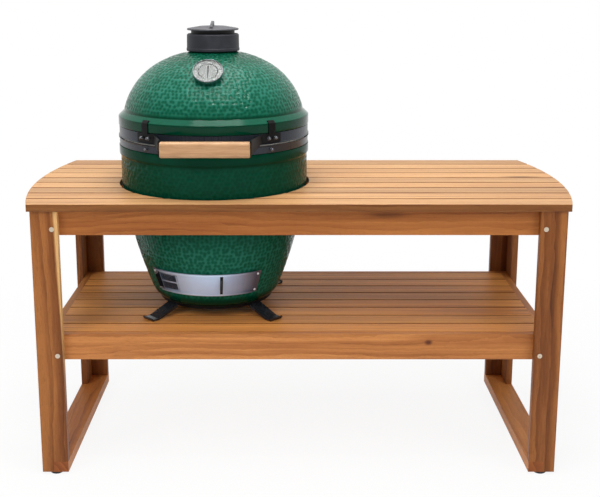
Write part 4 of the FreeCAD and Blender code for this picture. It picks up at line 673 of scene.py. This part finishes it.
# Handle: a bar of laminated bamboo, planed and eased, bare of any mark. Two black straps
# hold its ends and are nutted to the upper band, and two black clips hook over the rim.
def bamboo(name):
    """Pale bamboo: thin laminated strips across the height, fine fibres along the bar and
    short brown dashes of the darker bundles, from stretched noise."""
    finish, tree, shader, place = new_finish(name)
    strip = calc(tree, "FLOOR", calc(tree, "MULTIPLY", split(tree, place)["Z"], 160.0))
    tone = add(tree, "TexWhiteNoise", {"W": strip}, noise_dimensions="1D")
    fibre = noise(tree, stretched(tree, place, (12.0, 700.0, 700.0)), 1.0, 3.0, 0.6)
    cloud = noise(tree, stretched(tree, place, (14.0, 60.0, 60.0)), 1.0, 3.0)
    dash = noise(tree, stretched(tree, place, (26.0, 900.0, 900.0), (3.0, 0.0, 0.0)), 1.0, 1.0)
    value = calc(tree, "MULTIPLY_ADD", fibre, 0.55, calc(tree, "MULTIPLY", cloud, 0.35))
    value = calc(tree, "MULTIPLY_ADD", tone, 0.14, value)
    colour = ramp(tree, value, [(0.32, linear(150, 110, 74)), (0.52, linear(181, 140, 101)),
                                (0.70, linear(202, 164, 127))])
    dark = ramp(tree, dash, [(0.60, (0, 0, 0, 1)), (0.68, (1, 1, 1, 1))])
    colour = mixed(tree, calc(tree, "MULTIPLY", dark, 0.4), colour, linear(150, 92, 54))
    tree.links.new(colour, shader.inputs["Base Color"])
    shader.inputs["Roughness"].default_value = 0.48
    bumped(tree, shader, fibre, 0.0003, 0.5)
    return finish


bar_low, bar_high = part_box("handle_bar")
bar_middle = (bar_low + bar_high) / 2
bar_half = (bar_high - bar_low) / 2
bar_sides = 64
squareness = 0.42
ease = 0.004
turn = full_turn(bar_sides)
shape_y = np.sign(np.cos(turn)) * np.abs(np.cos(turn)) ** squareness
shape_z = np.sign(np.sin(turn)) * np.abs(np.sin(turn)) ** squareness
angle = np.linspace(0, math.pi / 2, 6)
back, sink = ease * (1 - np.cos(angle)), ease * (1 - np.sin(angle))
steps_x = np.concatenate([[-bar_half.x], back - bar_half.x, bar_half.x - back[::-1], [bar_half.x]])
inset = np.concatenate([[1.0], sink, sink[::-1], [1.0]])
width = np.maximum(bar_half.y - inset, 0.0)[:, None]
tall = np.maximum(bar_half.z - inset, 0.0)[:, None]
grid = np.stack([bar_middle.x + steps_x[:, None] + 0 * turn, bar_middle.y + width * shape_y,
                 bar_middle.z + tall * shape_z], axis=-1)
shaped("handle_wood", grid, net(len(grid), bar_sides), (bamboo("handle_wood"),), "dome", ("handle_bar",),
       50.0)
for node in ("handle_brackets", "rim_clips"):
    dress(node, black_coat)


# Studs, acorn nuts and screws: plated hex nuts with a domed end on washers, and round
# screw heads that hold the draft frame, their cross recess drawn as a six-sided hollow.
fastener_sides = 24
stud_low, stud_high = 0.8970, 0.9285
strap_face = 0.2745
strap_degrees = (-38.5, 38.5)
hinge_half = 0.025
nut_hexagon = (6, 7, 8)
nut_line = [(0.0, -0.008), (0.0025, -0.008), (0.0025, 0.0), (0.0052, 0.0), (0.0054, 0.0007),
            (0.0052, 0.0009), (0.0048, 0.0009), (0.0050, 0.0013), (0.0050, 0.0046), (0.0044, 0.0052),
            (0.0040, 0.0055), (0.0038, 0.0066), (0.0030, 0.0079), (0.0016, 0.0088), (0.0, 0.0090)]
screw_recess = (7, 8)
screw_line = [(0.0, -0.012), (0.002, -0.012), (0.002, 0.0), (0.0035, 0.0), (0.0034, 0.0008),
              (0.0028, 0.0016), (0.0016, 0.0021), (0.0010, 0.0022), (0.0006, 0.0013), (0.0, 0.0012)]


def turned_at(line, place, out, hexed):
    """Turn (radius, height) points about a way out of a surface. Rows named as hexed
    follow a hexagon's flats instead of a circle."""
    out = np.array(out, float) / np.linalg.norm(out)
    side = np.cross([0.0, 0.0, 1.0], out)
    side /= np.linalg.norm(side)
    up = np.cross(out, side)
    line = np.array(line, float)
    angle = full_turn(fastener_sides)
    flats = math.cos(math.pi / 6) / np.cos((angle + math.pi / 6) % (math.pi / 3) - math.pi / 6)
    shape = np.ones((len(line), fastener_sides))
    shape[list(hexed)] = flats
    spokes = side * np.cos(angle)[:, None] + up * np.sin(angle)[:, None]
    around = line[:, :1, None] * shape[:, :, None] * spokes
    return np.array(place, float) + around + line[:, 1, None, None] * out


def gathered(name, grids, finish, body, replaced):
    """Several grids of one shape, joined in one piece."""
    rows, columns = grids[0].shape[:2]
    one = net(rows, columns).reshape(-1, 4)
    quads = np.concatenate([one + number * rows * columns for number in range(len(grids))])
    points = np.concatenate([grid.reshape(-1, 3) for grid in grids])
    shaped(name, points, quads, (finish,), body, replaced, 30.0)


def plated(name):
    """Zinc-plated steel dulled by weather: dark grey with bright rubbed spots."""
    finish, tree, shader, place = new_finish(name)
    spots = noise(tree, place, 420.0, 3.0, 0.6)
    shade = ramp(tree, spots, [(0.35, linear(70, 72, 78)), (0.7, linear(150, 152, 158))])
    tree.links.new(shade, shader.inputs["Base Color"])
    shader.inputs["Metallic"].default_value = 0.9
    tree.links.new(calc(tree, "MULTIPLY_ADD", spots, 0.3, 0.12), shader.inputs["Roughness"])
    bumped(tree, shader, spots, 0.0001, 0.4)
    return finish


def nut_on_band(degrees, height, seat):
    """A nutted stud square to the kamado's front at an angle off the middle."""
    angle = math.radians(degrees)
    out = (math.sin(angle), -math.cos(angle), 0.0)
    return turned_at(nut_line, (axis_x + seat * out[0], seat * out[1], height), out, nut_hexagon)


def nut_behind(side, height):
    """A nutted stud of the hinge, standing straight back."""
    seat = math.sqrt(strap_face ** 2 - hinge_half ** 2) + 0.0006
    return turned_at(nut_line, (axis_x + side * hinge_half, seat, height), (0.0, 1.0, 0.0), nut_hexagon)


def screw_head(degrees, height):
    """A round head on the draft frame, square to the flank, over its threaded shank. The
    flank's lean is the change of its radius over two millimetres of height."""
    angle = math.radians(degrees)
    near = flank_radius(np.array([height - 0.001, height, height + 0.001]), base_flank)
    lean = (near[2] - near[0]) / 0.002
    out = np.array([math.sin(angle), -math.cos(angle), -lean])
    out /= np.linalg.norm(out)
    place = np.array([axis_x + near[1] * math.sin(angle), -near[1] * math.cos(angle), height])
    return turned_at(screw_line, place + out * 0.0021, out, screw_recess)


nut_steel = plated("nut_steel")
low_studs = [nut_on_band(degrees, stud_low, band_face) for degrees in strap_degrees]
low_studs += [nut_behind(side, stud_low) for side in (-1, 1)]
high_studs = [nut_on_band(degrees + step, stud_high, strap_face)
              for degrees in strap_degrees for step in (-2.4, 2.4)]
high_studs += [nut_behind(side, stud_high) for side in (-1, 1)]
gathered("nuts_low", low_studs, nut_steel, "table", ("base_fasteners",))
gathered("nuts_high", high_studs, nut_steel, "dome", ("dome_fasteners",))
screws = [screw_head(degrees, height) for degrees in (-48.75, 36.75) for height in (0.4875, 0.5375)]
# The screw heads are painted near white with little metal, a painted stand-in for their bright reflection.
screw_steel = painted("screw_steel", linear(236, 240, 244), 0.25, 900.0, 0.00003, 0.2)
gathered("draft_screws", screws, screw_steel, "table", ("base_fasteners",))


# Hinge: two pressed brackets nutted to the bands behind, a pin through both, and a pair
# of coil springs round it that carry most of the dome's weight.
for node in ("hinge_base_bracket", "hinge_dome_bracket"):
    dress(node, black_coat)
dress("hinge_pin", brushed("pin_steel", linear(180, 180, 184), 0.3, "X"))
dress("hinge_springs", painted("spring_steel", linear(58, 58, 62), 0.4, 900.0, 0.00008, 0.7))


# Thermometer: a chrome-plated case whose stem passes through the dome, a white printed
# dial, a black needle on a pivot and a flat glass.
dial_tilt = math.radians(42.0)
dial_seat = np.array([axis_x, -0.187, 1.0943225])
dial_right = np.array([1.0, 0.0, 0.0])
dial_up = np.array([0.0, math.cos(dial_tilt), math.sin(dial_tilt)])
dial_out = np.array([0.0, -math.sin(dial_tilt), math.cos(dial_tilt)])
case_sides = 96
stroke_count = 36
ring_steps = 97
print_low, print_high = 0.01649, 0.01660


def on_dial(local):
    """Move points made flat on the dial's plane, with Y towards its top, to their place."""
    return dial_seat + local[..., :1] * dial_right + local[..., 1:2] * dial_up + local[..., 2:] * dial_out


case_line = softened([(0.0, -0.110), (0.004, -0.110), (0.004, 0.0025), (0.009, 0.0025), (0.009, 0.008),
                      (0.039, 0.008), (0.041, 0.010), (0.041, 0.0190), (0.0398, 0.0210),
                      (0.0392, 0.0210), (0.039, 0.0205), (0.039, 0.0155), (0.036, 0.0155),
                      (0.036, 0.010), (0.0, 0.010)], 0.0009)
angle = full_turn(case_sides)
case = on_dial(np.stack([case_line[:, :1] * np.cos(angle), case_line[:, :1] * np.sin(angle),
                         case_line[:, 1:] + 0 * angle], axis=-1))
chrome, tree, shader, place = new_finish("bezel_chrome")
smear = noise(tree, place, 60.0, 4.0, 0.6)
shade = mixed(tree, smear, linear(168, 170, 174), linear(138, 140, 144))
tree.links.new(shade, shader.inputs["Base Color"])
tree.links.new(calc(tree, "MULTIPLY_ADD", smear, 0.12, 0.06), shader.inputs["Roughness"])
shader.inputs["Metallic"].default_value = 1.0
shaped("dial_case", case, net(*case.shape[:2]), (chrome,), "dome", ("thermometer_case",))
dress("thermometer_dial", painted("dial_white", linear(136, 140, 137), 0.5, 600.0, 0.00003))
dress("thermometer_needle", painted("needle_black", linear(14, 14, 15), 0.35, 900.0, 0.00003))


def dial_marks():
    """Scale strokes, long at every fifth, round three quarters of the dial, each a thin
    printed slab of four corners on two levels."""
    turns = np.radians(np.linspace(-135.0, 135.0, stroke_count))
    long = np.arange(stroke_count) % 5 == 0
    inner = np.where(long, 0.0218, 0.0238)[:, None]
    outer = 0.0262
    half = np.where(long, 0.00070, 0.00035)[:, None]
    away = np.stack([np.sin(turns), np.cos(turns)], axis=1)
    side = np.stack([np.cos(turns), -np.sin(turns)], axis=1) * half
    flat = np.stack([away * inner - side, away * inner + side, away * outer + side,
                     away * outer - side], axis=1)
    levels = [np.concatenate([flat, np.full(flat.shape[:2] + (1,), level)], axis=2)
              for level in (print_low, print_high)]
    points = on_dial(np.concatenate(levels, axis=1))
    one = np.array([(3, 2, 1, 0), (4, 5, 6, 7), (0, 1, 5, 4), (1, 2, 6, 5), (2, 3, 7, 6), (3, 0, 4, 7)])
    return points, (one[None] + np.arange(stroke_count)[:, None, None] * 8).reshape(-1, 4)


print_black = painted("dial_print", linear(20, 20, 20), 0.5, 600.0, 0.00002)
points, quads = dial_marks()
shaped("dial_scale", points, quads, (print_black,), "dome", ())
arc = np.radians(np.linspace(-160.0, 160.0, ring_steps))[:, None]
edge_radius = np.array([0.0248, 0.0248, 0.0274, 0.0274])
edge_level = np.array([print_low, 0.01662, 0.01662, print_low])
ring = on_dial(np.stack([edge_radius * np.sin(arc), edge_radius * np.cos(arc),
                         edge_level + 0 * arc], axis=-1))
first_end = np.arange(4)
last_end = ring_steps * 4 - 1 - first_end
quads = np.concatenate([net(ring_steps, 4).reshape(-1, 4), [first_end, last_end]])
shaped("dial_ring", ring, quads, (print_black,), "dome", ())


def dial_number(scale, words, degrees, radius, size):
    """A printed number: text turned into a mesh, then set on the dial at an angle."""
    curve = bpy.data.curves.new("number", "FONT")
    curve.body = words
    curve.size = size
    curve.extrude = 0.00005
    curve.align_x = "CENTER"
    curve.align_y = "CENTER"
    curve.resolution_u = 3
    text = bpy.data.objects.new("number", curve)
    bpy.context.collection.objects.link(text)
    bpy.context.view_layer.update()
    mesh = bpy.data.meshes.new_from_object(text)
    bpy.data.objects.remove(text)
    spots = np.zeros(len(mesh.vertices) * 3)
    mesh.vertices.foreach_get("co", spots)
    spots = spots.reshape(-1, 3)
    angle = math.radians(degrees)
    spots += (radius * math.sin(angle), radius * math.cos(angle), 0.01655)
    mesh.vertices.foreach_set("co", on_dial(spots).ravel())
    mesh.materials.append(print_black)
    piece = bpy.data.objects.new("dial_%s_%s" % (scale, words), mesh)
    bpy.context.collection.objects.link(piece)
    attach(piece, "dome")


for number in range(1, 7):
    degrees = -129.0 + 51.5 * (number - 1)
    dial_number("outer", str(100 * number), degrees, 0.0325, 0.0072)
    dial_number("inner", str(50 * number), degrees, 0.0175, 0.0052)

glass, tree, shader, place = new_finish("lens_glass")
smear = noise(tree, place, 90.0, 4.0)
tree.links.new(calc(tree, "MULTIPLY", smear, 0.05), shader.inputs["Roughness"])
tree.links.new(calc(tree, "MULTIPLY_ADD", smear, 0.06, 0.04), shader.inputs["Alpha"])
shader.inputs["Base Color"].default_value = linear(20, 22, 22)
dress("thermometer_lens", glass)


# Chimney cap: rough cast iron painted dark grey. The body slips over the collar and has
# five vents under a flat wheel; the lid swings on a pin and carries a grip fin.
cap_iron = painted("cap_iron", linear(46, 47, 52), 0.55, 520.0, 0.0005, 0.3)
dress("cap_vent_wheel", cap_iron)
# The lid's iron is a lighter copy of the cap's paint: painted light on its top, which faces the lamps.
dress("cap_lid", painted("cap_lid_iron", linear(80, 80, 84), 0.55, 520.0, 0.0005, 0.3))
body_iron = painted("cap_body_iron", linear(39, 40, 46), 0.55, 520.0, 0.0005, 0.3)
tree = body_iron.node_tree
# Above this height the body's throat, under the lid, is painted near black: painted shade.
collar_top = 1.1962
place = add(tree, "TexCoord", output="Object")
collar = calc(tree, "GREATER_THAN", split(tree, place)["Z"], collar_top)
shader = tree.nodes["Principled BSDF"]
colour = shader.inputs["Base Color"].links[0].from_socket
tree.links.new(mixed(tree, collar, colour, linear(10, 10, 11)), shader.inputs["Base Color"])
dress("cap_body", body_iron)
dress("cap_pivot", brushed("pivot_steel", linear(150, 150, 154), 0.35, "Z"))


# Studio: a pale floor that fades to plain white, soft lamps, and a camera at the
# photograph's angle. None of it belongs to the grill table.
floor_size = 30.0
bpy.ops.mesh.primitive_plane_add(size=floor_size, location=(0, 0, 0))
floor = bpy.context.object
floor.name = "floor"
finish, tree, shader, place = new_finish("floor")
tree.nodes.remove(shader)
ground = add(tree, "BsdfDiffuse", {"Color": (0.93, 0.93, 0.93, 1.0)})
white = add(tree, "Emission", {"Color": (1.0, 1.0, 1.0, 1.0), "Strength": 1.0})
reach = add(tree, "VectorMath", {0: place}, output="Value", operation="LENGTH")
fade = add(tree, "MapRange", {"Value": reach, "From Min": 0.9, "From Max": 2.0, "To Min": 0.9})
path = tree.nodes.new("ShaderNodeLightPath")
seen = calc(tree, "MAXIMUM", path.outputs["Is Camera Ray"], path.outputs["Is Glossy Ray"])
seen = calc(tree, "MAXIMUM", seen, path.outputs["Is Transmission Ray"])
share = calc(tree, "MULTIPLY", seen, fade)
surface = add(tree, "MixShader", {0: share, 1: ground, 2: white})
tree.links.new(surface, tree.nodes["Material Output"].inputs["Surface"])
floor.data.materials.append(finish)

world = bpy.data.worlds.new("studio")
bpy.context.scene.world = world
world.use_nodes = True
tree = world.node_tree
path = tree.nodes.new("ShaderNodeLightPath")
way = split(tree, add(tree, "TexCoord", output="Generated"))
behind = add(tree, "MapRange", {"Value": way["Y"], "From Min": -0.35, "From Max": 0.5, "To Min": 0.16})
above = add(tree, "MapRange", {"Value": way["Z"], "From Min": 0.35, "From Max": 0.95, "To Max": 1.3})
mirrored = calc(tree, "MAXIMUM", behind, above)
lit = add(tree, "MapRange", {"Value": path.outputs["Is Glossy Ray"], "To Min": 0.4, "To Max": 0.0})
lit = calc(tree, "MULTIPLY_ADD", mirrored, path.outputs["Is Glossy Ray"], lit)
plain = calc(tree, "MAXIMUM", path.outputs["Is Camera Ray"], path.outputs["Is Transmission Ray"])
strength = calc(tree, "MAXIMUM", plain, lit)
sky = tree.nodes["Background"]
sky.inputs["Color"].default_value = (1.0, 1.0, 1.0, 1.0)
tree.links.new(strength, sky.inputs["Strength"])


def softbox(name, place, target, size, power):
    """A square studio lamp that faces a point."""
    lamp = bpy.data.lights.new(name, "AREA")
    lamp.shape = "SQUARE"
    lamp.size = size
    lamp.energy = power
    holder = bpy.data.objects.new(name, lamp)
    bpy.context.collection.objects.link(holder)
    holder.location = place
    way = np.array(target) - np.array(place)
    holder.rotation_euler = (math.atan2(math.hypot(way[0], way[1]), -way[2]), 0.0,
                             math.atan2(way[1], way[0]) - math.pi / 2)
    return holder


softbox("key", (-2.4, -2.6, 2.6), (-0.2, 0.0, 0.7), 1.6, 42.0).visible_glossy = False
softbox("fill", (2.6, -2.4, 2.2), (0.0, 0.0, 0.7), 1.8, 32.0).visible_glossy = False
softbox("top", (-0.1, 0.1, 3.4), (-0.1, 0.0, 0.9), 1.7, 46.0)
softbox("front", (-0.2, -2.0, 3.3), (-0.2, 0.0, 0.9), 0.9, 22.0).visible_glossy = False
for lamp_x in (-0.5, -0.05, 0.4):
    softbox("dome_lamp", (lamp_x, -0.8, 2.1), (-0.243, 0.0, 1.05), 0.16, 2.6)

camera = bpy.data.cameras.new("camera")
camera.lens = 59.47
camera.sensor_width = 36.0
camera.shift_x = 0.02
camera.shift_y = -0.12
camera_tilt = 11.34
holder = bpy.data.objects.new("camera", camera)
bpy.context.collection.objects.link(holder)
holder.location = (-0.0289, -2.8505, 1.3517)
holder.rotation_euler = (math.radians(90.0 - camera_tilt), 0.0, 0.0)
bpy.context.scene.camera = holder
bpy.context.scene.view_settings.view_transform = "Standard"
